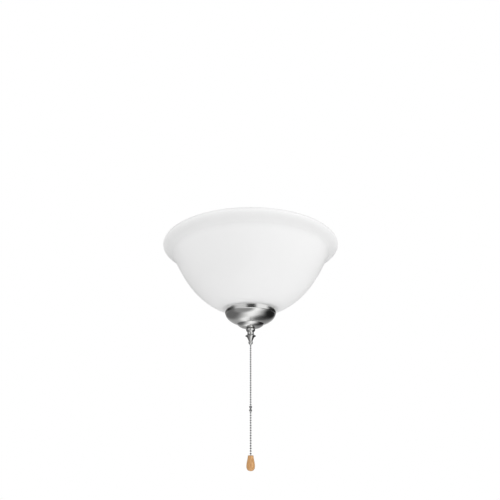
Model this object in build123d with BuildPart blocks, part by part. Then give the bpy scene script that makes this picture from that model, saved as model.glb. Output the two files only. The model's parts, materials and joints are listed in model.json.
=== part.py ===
from build123d import *
import math
import os

os.makedirs("parts", exist_ok=True)

# Ceiling fan light kit: a fitter that screws under a ceiling fan, two bulbs,
# an opal glass bowl held from below by a threaded rod, a cup and a finial,
# and a pull chain that runs from its switch down through the hollow rod.
# Origin: centre of the fitter's flat top. +Z points up, to the fan.
# All lengths are in millimetres.

# Clearances that several pieces share
running_gap = 0.05
slip_gap = 0.1
seat_gap = 0.3
overrun = 2.0

# Pipe nipple and the fitter's pressed housing
nipple_radius = 4.85
nipple_bore_radius = 3.25
nipple_neck = 4.5
nipple_stand = 18.0
pipe_chamfer = 0.6
thread_past = 3.2
housing_radius = 56.0
housing_wall = 1.0
housing_shoulder = 9.0
housing_bead = 1.6

# Nuts and washers on the nipple and on the rod
thin_nut_across = 14.0
thin_nut_height = 3.2
rod_nut_height = 4.6
lock_washer_height = 0.8
lock_washer_radius = 7.6
washer_split = 1.0

# Pull switch: case, lever, plunger and spring
pull_travel = 8.0
lever_arm = 12.6
lever_thickness = 1.2
lever_width = 7.0
lever_boss = 2.5
lever_slot = 2.3
lever_tip = 3.2
pivot_radius = 1.2
plunger_head = 1.6
plunger_stem = 0.8
plunger_rod = 1.0
collar_radius = 3.0
collar_height = 0.6
bell_wall = 0.45
spring_wire = 0.6
spring_radius = 2.55
spring_turns = 4.5
spring_solid = 3.2
case_wall = 1.2
case_inner_half = 6.0
case_end_room = 3.4
case_front_room = 4.6
roof_room = 1.0
wire_room = 4.0
bushing_radius = 4.0
bushing_bore = 2.5
bushing_flange = 5.2
bushing_flange_height = 0.8
bushing_length = 9.0
bushing_nut_across = 12.0
bushing_nut_height = 2.4
terminal_width = 2.4
terminal_thickness = 0.6
terminal_spread = 2.8
terminal_reach = 3.4
case_edge = 0.8
bushing_chamfer = 0.5

# Fitter plate, its skirt and its side screws
plate_wall = 1.2
plate_corner = 3.0
skirt_height = 9.0
skirt_lift = 2.0
vent_length = 11.0
vent_width = 3.2
vent_edge = 12.0
vent_spread = 30.0
screw_count = 3
screw_radius = 1.75
screw_head_radius = 3.6
screw_head_height = 2.4
screw_length = 7.0
screw_slot = 0.8
screw_taper = 12
vent_count = 3

# Stirrup that carries the rod
yoke_reach = 19.0
yoke_width = 14.0
yoke_wall = 1.6
yoke_drop = 28.0
yoke_foot = 11.0
yoke_bend = 2.0
rivet_radius = 1.6
rivet_head = 2.9
rivet_head_height = 1.1
rivet_taper = 25
rivet_edge = 5.2

# Hollow rod, its lining and the stack that holds the glass
rod_radius = 4.85
rod_bore = 3.25
rod_engage = 5.1
lining_bore = 2.5
lining_flange = 4.7
lining_flange_height = 1.2
lining_depth = 9.0
lining_chamfer = 0.5
grommet_wall = 1.4
steel_washer_radius = 15.0
steel_washer_height = 1.2
rubber_washer_radius = 16.5
rubber_washer_height = 2.0

# Opal glass bowl
bowl_radius = 152.5
bowl_depth = 111.9
glass_wall = 4.0
rim_lap = 2.0
lip_round = 5.9
lip_overhang = 16.4
groove_drop = 17.7
inner_lip_inset = 6.9
bottom_margin = 2.2
# Handles of the curves under the lip and down the wall, as shares of the
# overhang and the drop to the groove, and of the bowl's radius and depth
lip_handle_shares = [(1.0, 0.43), (0.09, 0.84)]
wall_handle_shares = [(0.787, 0.445), (0.665, 0.765), (0.404, 0.957)]

# Metal cup under the glass
cap_radius = 43.3
cap_depth = 32.6
cap_wall = 0.9
cap_band = 8.0
cap_step = 0.7
cap_dome_radius = 23.0
cap_dome_height = 7.0
cap_floor_radius = 9.0
cap_belly_shares = [(0.98, 0.42), (0.78, 0.83)]
cap_dome_shares = [(0.9, 0.5), (0.7, 1.0)]

# Finial
finial_head = 7.5
finial_head_height = 5.6
finial_neck = 5.3
finial_neck_height = 5.6
finial_flare = 8.7
finial_flare_height = 1.9
finial_edge = 0.7
finial_cone_top = 6.6
finial_cone_bottom = 2.9
finial_cone_height = 8.2
finial_ball = 3.65
finial_round = 1.9
chain_hole = 2.15

# Bead chain, its coupling and the wooden pendant
bead_radius = 1.6
bead_pitch = 3.75
bead_sides = 8
hidden_bead_sides = 6
link_radius = 0.45
bead_shares = [(-0.9, 0.281), (-0.42, 0.93), (0.42, 0.93), (0.9, 0.281)]
upper_beads = 26
lower_beads = 18
coupling_pitch = 5.2
coupling_wall = 0.5
coupling_room = 0.2
coupling_waist = 1.5
coupling_mouth = 1.3
pendant_top_radius = 4.3
pendant_height = 22.1
pendant_seat = 1.2
pendant_bore = 2.1
pendant_bore_depth = 4.4
pendant_edge = 0.5
pendant_side_shares = [(1.09, 0.28), (1.55, 0.46), (1.523, 0.70)]
pendant_foot_shares = [(1.5, 0.93), (0.85, 1.0)]

# Bulb holders on their brackets, tilted down and outwards
socket_tilt = 37.0
socket_inset = 24.0
socket_drop = 19.8
socket_radius = 17.0
socket_neck = 14.6
socket_length = 34.0
socket_floor = 6.0
socket_flare = 12.0
socket_edge = 1.0
bracket_wall = 1.2
bracket_width = 18.0
bracket_low = 15.0
bracket_flange = 8.0
bracket_ear = 17.0
ear_spread = 13.0
bracket_corner = 3.0
shell_wall = 0.4
shell_length = 22.0
shell_hole = 7.0
contact_length = 11.0
contact_width = 5.0
contact_thickness = 0.5
contact_rise = 1.6
holder_screw_spread = 8.5
holder_screw_radius = 1.5
holder_screw_head = 2.8
holder_screw_head_height = 1.8
holder_screw_bite = 4.0

# Bulbs: screw cap, foot contact, tapered body and opal globe
cap_thread_radius = 13.0
foot_contact_radius = 4.8
foot_contact_height = 1.2
foot_taper = 2.6
bulb_cap_length = 25.0
bulb_length = 77.0
globe_radius = 22.5
bulb_body_length = 15.0
bulb_wall = 1.5

# Leads and their twist-on connectors
lead_radius = 1.1
lead_bend = 3.0
lead_turn = 4.2
lead_exit = 12.0
lead_back = 7.0
grommet_offset = 24.0
grommet_radius = 5.2
wire_grommet_bore = 3.9
wire_grommet_lip = 1.3
pair_spread = 1.6
connector_offset = 36.0
connector_side = 27.0
connector_forward = 24.0
connector_mouth = 5.4
connector_tip = 3.7
connector_height = 17.0
connector_pocket = 3.6
connector_depth = 8.0
connector_lift = 7.0
connector_sides = 6
triple_spread = 1.35
lead_lift = 3.6
lead_drop = 7.6


def moved_in(points, wall):
    """Control points of a curve moved to their left by a wall's thickness."""
    normals = []
    for first, last in zip(points, points[1:]):
        run = math.dist(first, last)
        normals.append(((first[1] - last[1]) / run, (last[0] - first[0]) / run))
    moved = []
    for index, point in enumerate(points):
        before = normals[max(index - 1, 0)]
        after = normals[min(index, len(normals) - 1)]
        mitre = 1 + before[0] * after[0] + before[1] * after[1]
        across = (before[0] + after[0]) * wall / mitre
        up = (before[1] + after[1]) * wall / mitre
        moved.append((point[0] + across, point[1] + up))
    return moved


def ring(bottom, height, outer, inner):
    """A flat ring about the kit's own axis."""
    with BuildPart() as made:
        with BuildSketch(Plane.XY.offset(bottom)):
            Circle(outer)
            Circle(inner, mode=Mode.SUBTRACT)
        extrude(amount=height)
    return made


def split_washer(bottom, outer, inner):
    """A split lock washer about the kit's own axis."""
    with BuildPart() as made:
        with BuildSketch(Plane.XY.offset(bottom)):
            Circle(outer)
            Circle(inner, mode=Mode.SUBTRACT)
            with Locations(((outer + inner) / 2, 0)):
                Rectangle(outer, washer_split, mode=Mode.SUBTRACT)
        extrude(amount=lock_washer_height)
    return made


def hex_nuts(bottoms, height, across, hole):
    """Hexagon nuts about the kit's own axis, one above each given height."""
    with BuildPart() as made:
        for bottom in bottoms:
            with BuildSketch(Plane.XY.offset(bottom)):
                RegularPolygon(across / 2, 6, major_radius=False)
                Circle(hole, mode=Mode.SUBTRACT)
            extrude(amount=height)
    return made


def rivets(places, grip):
    """Rivets through the plate and a sheet of thickness grip below it."""
    with BuildPart() as made:
        with BuildSketch(Plane.XY.offset(plate_bottom - grip)):
            with Locations(*places):
                Circle(rivet_radius)
        extrude(amount=grip + plate_wall)
        with BuildSketch(Plane.XY.offset(plate_top)):
            with Locations(*places):
                Circle(rivet_head)
        extrude(amount=rivet_head_height, taper=rivet_taper)
        with BuildSketch(Plane.XY.offset(plate_bottom - grip)):
            with Locations(*places):
                Circle(rivet_head)
        extrude(amount=-rivet_head_height, taper=rivet_taper)
    return made


def beads(centres, sides, top_reach, end_reach):
    """Beads and the links between them as one loft through flat-sided rings."""
    with BuildPart() as made:
        if top_reach:
            with BuildSketch(Plane.XY.offset(centres[0] + top_reach)):
                RegularPolygon(link_radius, sides)
        for centre in centres:
            for height, width in reversed(bead_shares):
                with BuildSketch(Plane.XY.offset(centre + height * bead_radius)):
                    RegularPolygon(width * bead_radius, sides)
        if end_reach:
            with BuildSketch(Plane.XY.offset(centres[-1] - end_reach)):
                RegularPolygon(link_radius, sides)
        loft(ruled=True)
    return made


# Heights down the axis, each worked out from the pieces stacked above it
tilt = math.atan2(pull_travel / 2, lever_arm)
lever_half = lever_thickness / 2 / math.cos(tilt)
collar_drop = lever_half + seat_gap + collar_radius * math.tan(tilt)
head_rise = (plunger_head + lever_thickness / 2 + seat_gap) / math.cos(tilt)
below_pivot = (
    case_wall + bushing_flange_height + spring_solid + collar_height + pull_travel / 2 + collar_drop
)
above_pivot = pull_travel / 2 + head_rise + plunger_head + roof_room + case_wall
case_height = below_pivot + above_pivot

nut_top = -housing_wall - lock_washer_height
nipple_bottom = nut_top - thin_nut_height - thread_past
plate_top = nipple_bottom - wire_room - case_height
plate_bottom = plate_top - plate_wall
lever_z = plate_top + below_pivot
bushing_bottom = plate_bottom - bushing_length
housing_bottom = plate_top - skirt_height - skirt_lift
rim_z = housing_bottom + rim_lap

strap_top = plate_bottom - yoke_drop
rod_top = strap_top + lock_washer_height + rod_nut_height + thread_past
bowl_bottom = rim_z - bowl_depth
glass_floor = bowl_bottom + glass_wall
cap_bottom = bowl_bottom - cap_depth
finial_top = cap_bottom - seat_gap
rod_bottom = finial_top - rod_engage
neck_z = finial_top - finial_head_height
flare_z = neck_z - finial_neck_height
edge_z = flare_z - finial_flare_height
cone_z = edge_z - finial_edge
ball_neck_z = cone_z - finial_cone_height
ball_z = ball_neck_z - math.sqrt(finial_ball**2 - finial_cone_bottom**2)
ball_bottom = ball_z - math.sqrt(finial_ball**2 - chain_hole**2)

mouth_z = ball_z - finial_ball - seat_gap - bead_radius
pocket_radius = bead_radius + coupling_room
bell_reach = bead_radius + bell_wall + seat_gap
hidden_beads = math.floor((bushing_bottom - bell_reach - mouth_z) / bead_pitch)
chain_top = mouth_z + hidden_beads * bead_pitch
coupling_z = mouth_z - upper_beads * bead_pitch
lower_start = coupling_z - coupling_pitch
pendant_pivot = lower_start - lower_beads * bead_pitch
pendant_top = pendant_pivot + pendant_seat

# Bulb holders: their rear centre's height, their slope, and their brackets' bend
socket_z = plate_bottom - socket_drop
tilt_out = math.cos(math.radians(socket_tilt))
tilt_down = math.sin(math.radians(socket_tilt))
bracket_bend = socket_inset + socket_drop * tilt_down / tilt_out

# Places of the screws and rivets that several pieces share
screw_z = housing_bottom + housing_bead * 2 + screw_head_radius + seat_gap
screw_planes = []
for turn in range(screw_count):
    angle = math.radians(90 + turn * 360 / screw_count)
    outward = Vector(math.cos(angle), math.sin(angle), 0)
    screw_planes.append(Plane(origin=(0, 0, screw_z), x_dir=(0, 0, 1), z_dir=outward))
flange_middle = bracket_bend - bracket_flange / 2
bracket_rivet_places = [
    (side * flange_middle, across * ear_spread) for side in (-1, 1) for across in (-1, 1)
]
yoke_rivet_y = yoke_reach + yoke_foot - rivet_edge
yoke_rivet_places = [(0, -yoke_rivet_y), (0, yoke_rivet_y)]

# Fitter: housing, nipple and its fasteners
with BuildPart() as fitter_housing:
    with BuildSketch(Plane.XZ):
        with BuildLine():
            side = housing_radius - housing_wall
            flat = housing_radius - housing_shoulder
            Line((nipple_radius + slip_gap, 0), (flat, 0))
            RadiusArc((flat, 0), (housing_radius, -housing_shoulder), housing_shoulder)
            Line((housing_radius, -housing_shoulder), (housing_radius, housing_bottom))
            Line((housing_radius, housing_bottom), (side, housing_bottom))
            Line((side, housing_bottom), (side, -housing_shoulder))
            RadiusArc((side, -housing_shoulder), (flat, -housing_wall), housing_wall - housing_shoulder)
            Line((flat, -housing_wall), (nipple_radius + slip_gap, -housing_wall))
            Line((nipple_radius + slip_gap, -housing_wall), (nipple_radius + slip_gap, 0))
        make_face()
        with Locations((housing_radius + housing_bead - housing_wall, housing_bottom + housing_bead)):
            Circle(housing_bead)
    revolve(axis=Axis.Z)
    for plane in screw_planes:
        with BuildSketch(plane):
            Circle(screw_radius + slip_gap)
        extrude(amount=housing_radius + overrun, mode=Mode.SUBTRACT)
fitter_housing.part.label = "fitter_housing"
export_step(fitter_housing.part, "parts/fitter_housing.step")

with BuildPart() as nipple:
    with BuildSketch(Plane.XY.offset(nipple_bottom)):
        Circle(nipple_radius)
        Circle(nipple_bore_radius, mode=Mode.SUBTRACT)
    extrude(amount=nipple_stand - nipple_bottom)
    outer_rims = nipple.edges().filter_by(GeomType.CIRCLE).sort_by(SortBy.RADIUS)[-2:]
    chamfer(outer_rims, pipe_chamfer)
    with BuildSketch():
        Circle(nipple_radius)
        Circle(nipple_neck, mode=Mode.SUBTRACT)
    extrude(amount=nut_top, mode=Mode.SUBTRACT)
nipple.part.label = "nipple"
export_step(nipple.part, "parts/nipple.step")

nipple_lock_washer = split_washer(nut_top, lock_washer_radius, nipple_radius + slip_gap)
nipple_lock_washer.part.label = "nipple_lock_washer"
export_step(nipple_lock_washer.part, "parts/nipple_lock_washer.step")

nipple_nut = hex_nuts([nut_top - thin_nut_height], thin_nut_height, thin_nut_across, nipple_radius)
nipple_nut.part.label = "nipple_nut"
export_step(nipple_nut.part, "parts/nipple_nut.step")

# Stamped plate that closes the housing, with its skirt, holes and vents
with BuildPart() as fitter_plate:
    skirt_radius = housing_radius - housing_wall - slip_gap
    skirt_inner = skirt_radius - plate_wall
    with BuildSketch(Plane.XZ):
        with BuildLine():
            Line((0, plate_top), (skirt_radius - plate_corner, plate_top))
            RadiusArc(
                (skirt_radius - plate_corner, plate_top),
                (skirt_radius, plate_top - plate_corner),
                plate_corner,
            )
            Line((skirt_radius, plate_top - plate_corner), (skirt_radius, plate_top - skirt_height))
            Line((skirt_radius, plate_top - skirt_height), (skirt_inner, plate_top - skirt_height))
            Line((skirt_inner, plate_top - skirt_height), (skirt_inner, plate_top - plate_corner))
            RadiusArc(
                (skirt_inner, plate_top - plate_corner),
                (skirt_radius - plate_corner, plate_bottom),
                plate_wall - plate_corner,
            )
            Line((skirt_radius - plate_corner, plate_bottom), (0, plate_bottom))
            Line((0, plate_bottom), (0, plate_top))
        make_face()
    revolve(axis=Axis.Z)
    with BuildSketch(Plane.XY.offset(plate_top)):
        Circle(bushing_radius + slip_gap)
        with Locations((grommet_offset, 0), (-grommet_offset, 0)):
            Circle(grommet_radius)
        with Locations(*bracket_rivet_places, *yoke_rivet_places):
            Circle(rivet_radius)
        for facing in (90, 270):
            with PolarLocations(
                housing_radius - vent_edge,
                vent_count,
                start_angle=facing - vent_spread,
                angular_range=vent_spread * 2,
                endpoint=True,
            ):
                SlotOverall(vent_length, vent_width, rotation=90)
    extrude(amount=-plate_wall - overrun, mode=Mode.SUBTRACT)
    for plane in screw_planes:
        with BuildSketch(plane):
            Circle(screw_radius + slip_gap)
        extrude(amount=housing_radius + overrun, mode=Mode.SUBTRACT)
fitter_plate.part.label = "fitter_plate"
export_step(fitter_plate.part, "parts/fitter_plate.step")

with BuildPart() as housing_screws:
    for plane in screw_planes:
        with BuildSketch(plane.offset(housing_radius - screw_length)):
            Circle(screw_radius)
        extrude(amount=screw_length)
        with BuildSketch(plane.offset(housing_radius)):
            Circle(screw_head_radius)
        extrude(amount=screw_head_height, taper=screw_taper)
        with BuildSketch(plane.offset(housing_radius + screw_head_height)):
            Rectangle(screw_head_radius * 2, screw_slot)
        extrude(amount=-screw_head_height / 2, mode=Mode.SUBTRACT)
housing_screws.part.label = "housing_screws"
export_step(housing_screws.part, "parts/housing_screws.step")

# Stirrup under the plate, its rivets, and the rod that it holds
with BuildPart() as rod_yoke:
    reach = yoke_reach + yoke_foot
    with BuildSketch(Plane.YZ):
        with BuildLine():
            bend = FilletPolyline(
                (-reach, plate_bottom - yoke_wall / 2),
                (-yoke_reach, plate_bottom - yoke_wall / 2),
                (-yoke_reach, strap_top - yoke_wall / 2),
                (yoke_reach, strap_top - yoke_wall / 2),
                (yoke_reach, plate_bottom - yoke_wall / 2),
                (reach, plate_bottom - yoke_wall / 2),
                radius=yoke_bend,
            )
            offset(bend, amount=yoke_wall / 2, side=Side.BOTH)
        make_face()
    extrude(amount=yoke_width / 2, both=True)
    with BuildSketch(Plane.XY.offset(plate_bottom + overrun)):
        with Locations(*yoke_rivet_places):
            Circle(rivet_radius)
    extrude(amount=-yoke_wall - overrun * 2, mode=Mode.SUBTRACT)
    with BuildSketch(Plane.XY.offset(strap_top + overrun)):
        Circle(rod_radius + slip_gap)
    extrude(amount=-yoke_wall - overrun * 2, mode=Mode.SUBTRACT)
rod_yoke.part.label = "rod_yoke"
export_step(rod_yoke.part, "parts/rod_yoke.step")

yoke_rivets = rivets(yoke_rivet_places, yoke_wall)
yoke_rivets.part.label = "yoke_rivets"
export_step(yoke_rivets.part, "parts/yoke_rivets.step")

bracket_rivets = rivets(bracket_rivet_places, bracket_wall)
bracket_rivets.part.label = "bracket_rivets"
export_step(bracket_rivets.part, "parts/bracket_rivets.step")

with BuildPart() as rod:
    with BuildSketch(Plane.XY.offset(rod_bottom)):
        Circle(rod_radius)
        Circle(rod_bore, mode=Mode.SUBTRACT)
    extrude(amount=rod_top - rod_bottom)
    outer_rims = rod.edges().filter_by(GeomType.CIRCLE).sort_by(SortBy.RADIUS)[-2:]
    chamfer(outer_rims, pipe_chamfer)
rod.part.label = "rod"
export_step(rod.part, "parts/rod.step")

rod_lock_washer = split_washer(strap_top, lock_washer_radius, rod_radius + slip_gap)
rod_lock_washer.part.label = "rod_lock_washer"
export_step(rod_lock_washer.part, "parts/rod_lock_washer.step")

nut_seats = [strap_top + lock_washer_height, strap_top - yoke_wall - rod_nut_height]
rod_nuts = hex_nuts(nut_seats, rod_nut_height, thin_nut_across, rod_radius)
rod_nuts.part.label = "rod_nuts"
export_step(rod_nuts.part, "parts/rod_nuts.step")

with BuildPart() as rod_mouth_bushing:
    with BuildSketch(Plane.XY.offset(rod_top)):
        Circle(lining_flange)
    extrude(amount=lining_flange_height)
    with BuildSketch(Plane.XY.offset(rod_top)):
        Circle(rod_bore - running_gap)
    extrude(amount=-lining_depth)
    with BuildSketch(Plane.XY.offset(rod_top + lining_flange_height)):
        Circle(lining_bore)
    extrude(amount=-lining_flange_height - lining_depth, mode=Mode.SUBTRACT)
    chamfer(rod_mouth_bushing.edges().group_by(Axis.Z)[-1].sort_by(SortBy.RADIUS)[0], lining_chamfer)
rod_mouth_bushing.part.label = "rod_mouth_bushing"
export_step(rod_mouth_bushing.part, "parts/rod_mouth_bushing.step")

# Stack inside the glass: rubber washer, steel washer, nut and hole liner
rubber_top = glass_floor + rubber_washer_height
steel_top = rubber_top + steel_washer_height
grommet_outer = rod_radius + slip_gap + grommet_wall

glass_grommet = ring(bowl_bottom, glass_wall, grommet_outer, rod_radius + slip_gap)
glass_grommet.part.label = "glass_grommet"
export_step(glass_grommet.part, "parts/glass_grommet.step")

glass_rubber_washer = ring(glass_floor, rubber_washer_height, rubber_washer_radius, rod_radius + slip_gap)
glass_rubber_washer.part.label = "glass_rubber_washer"
export_step(glass_rubber_washer.part, "parts/glass_rubber_washer.step")

glass_steel_washer = ring(rubber_top, steel_washer_height, steel_washer_radius, rod_radius + slip_gap)
glass_steel_washer.part.label = "glass_steel_washer"
export_step(glass_steel_washer.part, "parts/glass_steel_washer.step")

rod_stop_nut = hex_nuts([steel_top], rod_nut_height, thin_nut_across, rod_radius)
rod_stop_nut.part.label = "rod_stop_nut"
export_step(rod_stop_nut.part, "parts/rod_stop_nut.step")

# Glass bowl: rolled lip, groove under it, convex wall and flat bottom
with BuildPart() as glass_bowl:
    groove_radius = bowl_radius - lip_overhang
    groove = (groove_radius, rim_z - groove_drop)
    lip_side = (bowl_radius, rim_z - lip_round)
    under_lip = [
        (groove_radius + out * lip_overhang, rim_z - down * groove_drop)
        for out, down in lip_handle_shares
    ]
    wall_points = [
        (out * bowl_radius, rim_z - down * bowl_depth) for out, down in wall_handle_shares
    ]
    outer_wall = [groove, *wall_points]
    inner_wall = moved_in(outer_wall, -glass_wall)
    foot_radius = cap_radius + bottom_margin
    hole_radius = grommet_outer + running_gap
    outer_tangent = Vector(*outer_wall[3]) - Vector(*outer_wall[2])
    inner_tangent = Vector(*inner_wall[3]) - Vector(*inner_wall[2])
    lip_tangent = Vector(*inner_wall[0]) - Vector(*inner_wall[1])
    with BuildSketch(Plane.XZ):
        with BuildLine():
            RadiusArc((bowl_radius - lip_round, rim_z), lip_side, lip_round)
            Bezier(lip_side, *under_lip, groove)
            Bezier(*outer_wall)
            TangentArc(outer_wall[3], (foot_radius, bowl_bottom), tangent=outer_tangent)
            Line((foot_radius, bowl_bottom), (hole_radius, bowl_bottom))
            Line((hole_radius, bowl_bottom), (hole_radius, glass_floor))
            Line((hole_radius, glass_floor), (foot_radius, glass_floor))
            TangentArc(inner_wall[3], (foot_radius, glass_floor), tangent=inner_tangent)
            Bezier(*inner_wall)
            TangentArc(inner_wall[0], (bowl_radius - inner_lip_inset, rim_z), tangent=lip_tangent)
            Line((bowl_radius - inner_lip_inset, rim_z), (bowl_radius - lip_round, rim_z))
        make_face()
    revolve(axis=Axis.Z)
glass_bowl.part.label = "glass_bowl"
export_step(glass_bowl.part, "parts/glass_bowl.step")

# Cup under the glass: band, step, round belly, then a lower dome
with BuildPart() as bottom_cap:
    band_z = bowl_bottom - cap_band
    belly_top = (cap_radius - cap_step, band_z - cap_step)
    dome_top_z = cap_bottom + cap_dome_height
    belly_span = belly_top[1] - dome_top_z
    belly = [
        belly_top,
        *[(out * belly_top[0], belly_top[1] - down * belly_span) for out, down in cap_belly_shares],
        (cap_dome_radius, dome_top_z),
    ]
    dome = [
        (cap_dome_radius, dome_top_z),
        *[
            (out * cap_dome_radius, dome_top_z - down * cap_dome_height)
            for out, down in cap_dome_shares
        ],
        (cap_floor_radius, cap_bottom),
    ]
    inner_belly = moved_in(belly, -cap_wall)
    inner_dome = moved_in(dome, -cap_wall)
    inner_dome[-1] = (inner_dome[-1][0], cap_bottom + cap_wall)
    cap_hole = rod_radius + seat_gap
    with BuildSketch(Plane.XZ):
        with BuildLine():
            Polyline((cap_radius, bowl_bottom), (cap_radius, band_z), belly_top)
            Bezier(*belly)
            Bezier(*dome)
            Polyline(
                (cap_floor_radius, cap_bottom),
                (cap_hole, cap_bottom),
                (cap_hole, cap_bottom + cap_wall),
                inner_dome[-1],
            )
            Bezier(*inner_dome)
            Line(inner_dome[0], inner_belly[-1])
            Bezier(*inner_belly)
            Polyline(
                inner_belly[0],
                (cap_radius - cap_wall, band_z + cap_step),
                (cap_radius - cap_wall, bowl_bottom),
                (cap_radius, bowl_bottom),
            )
        make_face()
    revolve(axis=Axis.Z)
bottom_cap.part.label = "bottom_cap"
export_step(bottom_cap.part, "parts/bottom_cap.step")

# Finial: round head, waisted neck, sharp flare, cone and a ball tip
with BuildPart() as finial:
    thread_bore = rod_radius + running_gap
    with BuildSketch(Plane.XZ):
        with BuildLine():
            Line((thread_bore, finial_top), (finial_head - finial_round, finial_top))
            RadiusArc(
                (finial_head - finial_round, finial_top),
                (finial_head, finial_top - finial_round),
                finial_round,
            )
            Line((finial_head, finial_top - finial_round), (finial_head, neck_z + finial_round))
            RadiusArc(
                (finial_head, neck_z + finial_round),
                (finial_neck + finial_edge, neck_z),
                finial_head - finial_neck,
            )
            ThreePointArc(
                (finial_neck + finial_edge, neck_z),
                (finial_neck, (neck_z + flare_z) / 2),
                (finial_neck + finial_edge, flare_z),
            )
            Line((finial_neck + finial_edge, flare_z), (finial_flare, edge_z))
            Line((finial_flare, edge_z), (finial_flare - finial_edge, cone_z))
            Line((finial_flare - finial_edge, cone_z), (finial_cone_top, cone_z))
            Line((finial_cone_top, cone_z), (finial_cone_bottom, ball_neck_z))
            ThreePointArc(
                (finial_cone_bottom, ball_neck_z),
                (finial_ball, ball_z),
                (chain_hole, ball_bottom),
            )
            Line((chain_hole, ball_bottom), (chain_hole, rod_bottom - seat_gap))
            Line((chain_hole, rod_bottom - seat_gap), (thread_bore, rod_bottom - seat_gap))
            Line((thread_bore, rod_bottom - seat_gap), (thread_bore, finial_top))
        make_face()
    revolve(axis=Axis.Z)
finial.part.label = "finial"
export_step(finial.part, "parts/finial.step")

# Bead chain in four rigid lengths, its coupling and the pendant
hidden_places = [mouth_z + (index + 1) * bead_pitch for index in range(hidden_beads)]
upper_places = [mouth_z - (index + 1) * bead_pitch for index in range(upper_beads)]
lower_places = [lower_start - index * bead_pitch for index in range(lower_beads + 1)]

chain_in_rod = beads(sorted(hidden_places, reverse=True), hidden_bead_sides, 0, bead_pitch / 2)
chain_in_rod.part.label = "chain_in_rod"
export_step(chain_in_rod.part, "parts/chain_in_rod.step")

mouth_bead = beads([mouth_z], bead_sides, 0, 0)
mouth_bead.part.label = "mouth_bead"
export_step(mouth_bead.part, "parts/mouth_bead.step")

upper_chain = beads(upper_places, bead_sides, bead_pitch / 2, 0)
upper_chain.part.label = "upper_chain"
export_step(upper_chain.part, "parts/upper_chain.step")

lower_chain = beads(lower_places, bead_sides, 0, 0)
lower_chain.part.label = "lower_chain"
export_step(lower_chain.part, "parts/lower_chain.step")

# Coupling: two round pockets that each hold an end bead, with a waist between
with BuildPart() as chain_coupling:
    bulge = pocket_radius + coupling_wall
    waist_z = (coupling_z + lower_start) / 2
    mouth_rise = math.sqrt(bulge**2 - coupling_mouth**2)
    waist_rise = math.sqrt(bulge**2 - coupling_waist**2)
    with BuildSketch(Plane.XZ):
        with BuildLine():
            ThreePointArc(
                (coupling_mouth, coupling_z + mouth_rise),
                (bulge, coupling_z),
                (coupling_waist, coupling_z - waist_rise),
            )
            Line((coupling_waist, coupling_z - waist_rise), (coupling_waist, lower_start + waist_rise))
            ThreePointArc(
                (coupling_waist, lower_start + waist_rise),
                (bulge, lower_start),
                (coupling_mouth, lower_start - mouth_rise),
            )
            Line((coupling_mouth, lower_start - mouth_rise), (0, lower_start - mouth_rise))
            Line((0, lower_start - mouth_rise), (0, coupling_z + mouth_rise))
            Line((0, coupling_z + mouth_rise), (coupling_mouth, coupling_z + mouth_rise))
        make_face()
        with BuildLine():
            Line((0, coupling_z + pocket_radius), (0, coupling_z - pocket_radius))
            ThreePointArc(
                (0, coupling_z - pocket_radius),
                (pocket_radius, coupling_z),
                (0, coupling_z + pocket_radius),
            )
        make_face(mode=Mode.SUBTRACT)
        with BuildLine():
            Line((0, lower_start + pocket_radius), (0, lower_start - pocket_radius))
            ThreePointArc(
                (0, lower_start - pocket_radius),
                (pocket_radius, lower_start),
                (0, lower_start + pocket_radius),
            )
        make_face(mode=Mode.SUBTRACT)
    revolve(axis=Axis.Z)
    with BuildSketch(Plane.XY.offset(coupling_z + mouth_rise)):
        Circle(coupling_mouth)
    extrude(amount=-mouth_rise - pocket_radius, mode=Mode.SUBTRACT)
    with BuildSketch(Plane.XY.offset(lower_start - mouth_rise)):
        Circle(coupling_mouth)
    extrude(amount=mouth_rise + pocket_radius, mode=Mode.SUBTRACT)
chain_coupling.part.label = "chain_coupling"
export_step(chain_coupling.part, "parts/chain_coupling.step")

# Turned wooden pendant with a bore for the chain's last bead
with BuildPart() as pendant:
    pendant_side = [
        (out * pendant_top_radius, pendant_top - down * pendant_height)
        for out, down in pendant_side_shares
    ]
    pendant_foot = [
        (out * pendant_top_radius, pendant_top - down * pendant_height)
        for out, down in pendant_foot_shares
    ]
    widest = pendant_side[-1]
    with BuildSketch(Plane.XZ):
        with BuildLine():
            Line((pendant_bore, pendant_top), (pendant_top_radius - pendant_edge, pendant_top))
            Line(
                (pendant_top_radius - pendant_edge, pendant_top),
                (pendant_top_radius, pendant_top - pendant_edge),
            )
            Bezier((pendant_top_radius, pendant_top - pendant_edge), *pendant_side)
            Bezier(widest, *pendant_foot, (0, pendant_top - pendant_height))
            Line((0, pendant_top - pendant_height), (0, pendant_top - pendant_bore_depth))
            Line((0, pendant_top - pendant_bore_depth), (pendant_bore, pendant_top - pendant_bore_depth))
            Line((pendant_bore, pendant_top - pendant_bore_depth), (pendant_bore, pendant_top))
        make_face()
    revolve(axis=Axis.Z)
pendant.part.label = "pendant"
export_step(pendant.part, "parts/pendant.step")

# Pull switch: case, lid, bushing, nut, lever on its pin, plunger and spring
case_back = -lever_arm - lever_boss - case_end_room
case_front = case_front_room
case_centre = (case_back + case_front) / 2
floor_z = plate_top + case_wall
flange_top = floor_z + bushing_flange_height
head_z = lever_z + pull_travel / 2 + head_rise
collar_top = lever_z + pull_travel / 2 - collar_drop
terminal_z = lever_z
terminal_end = case_back - case_wall - terminal_reach

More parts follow.
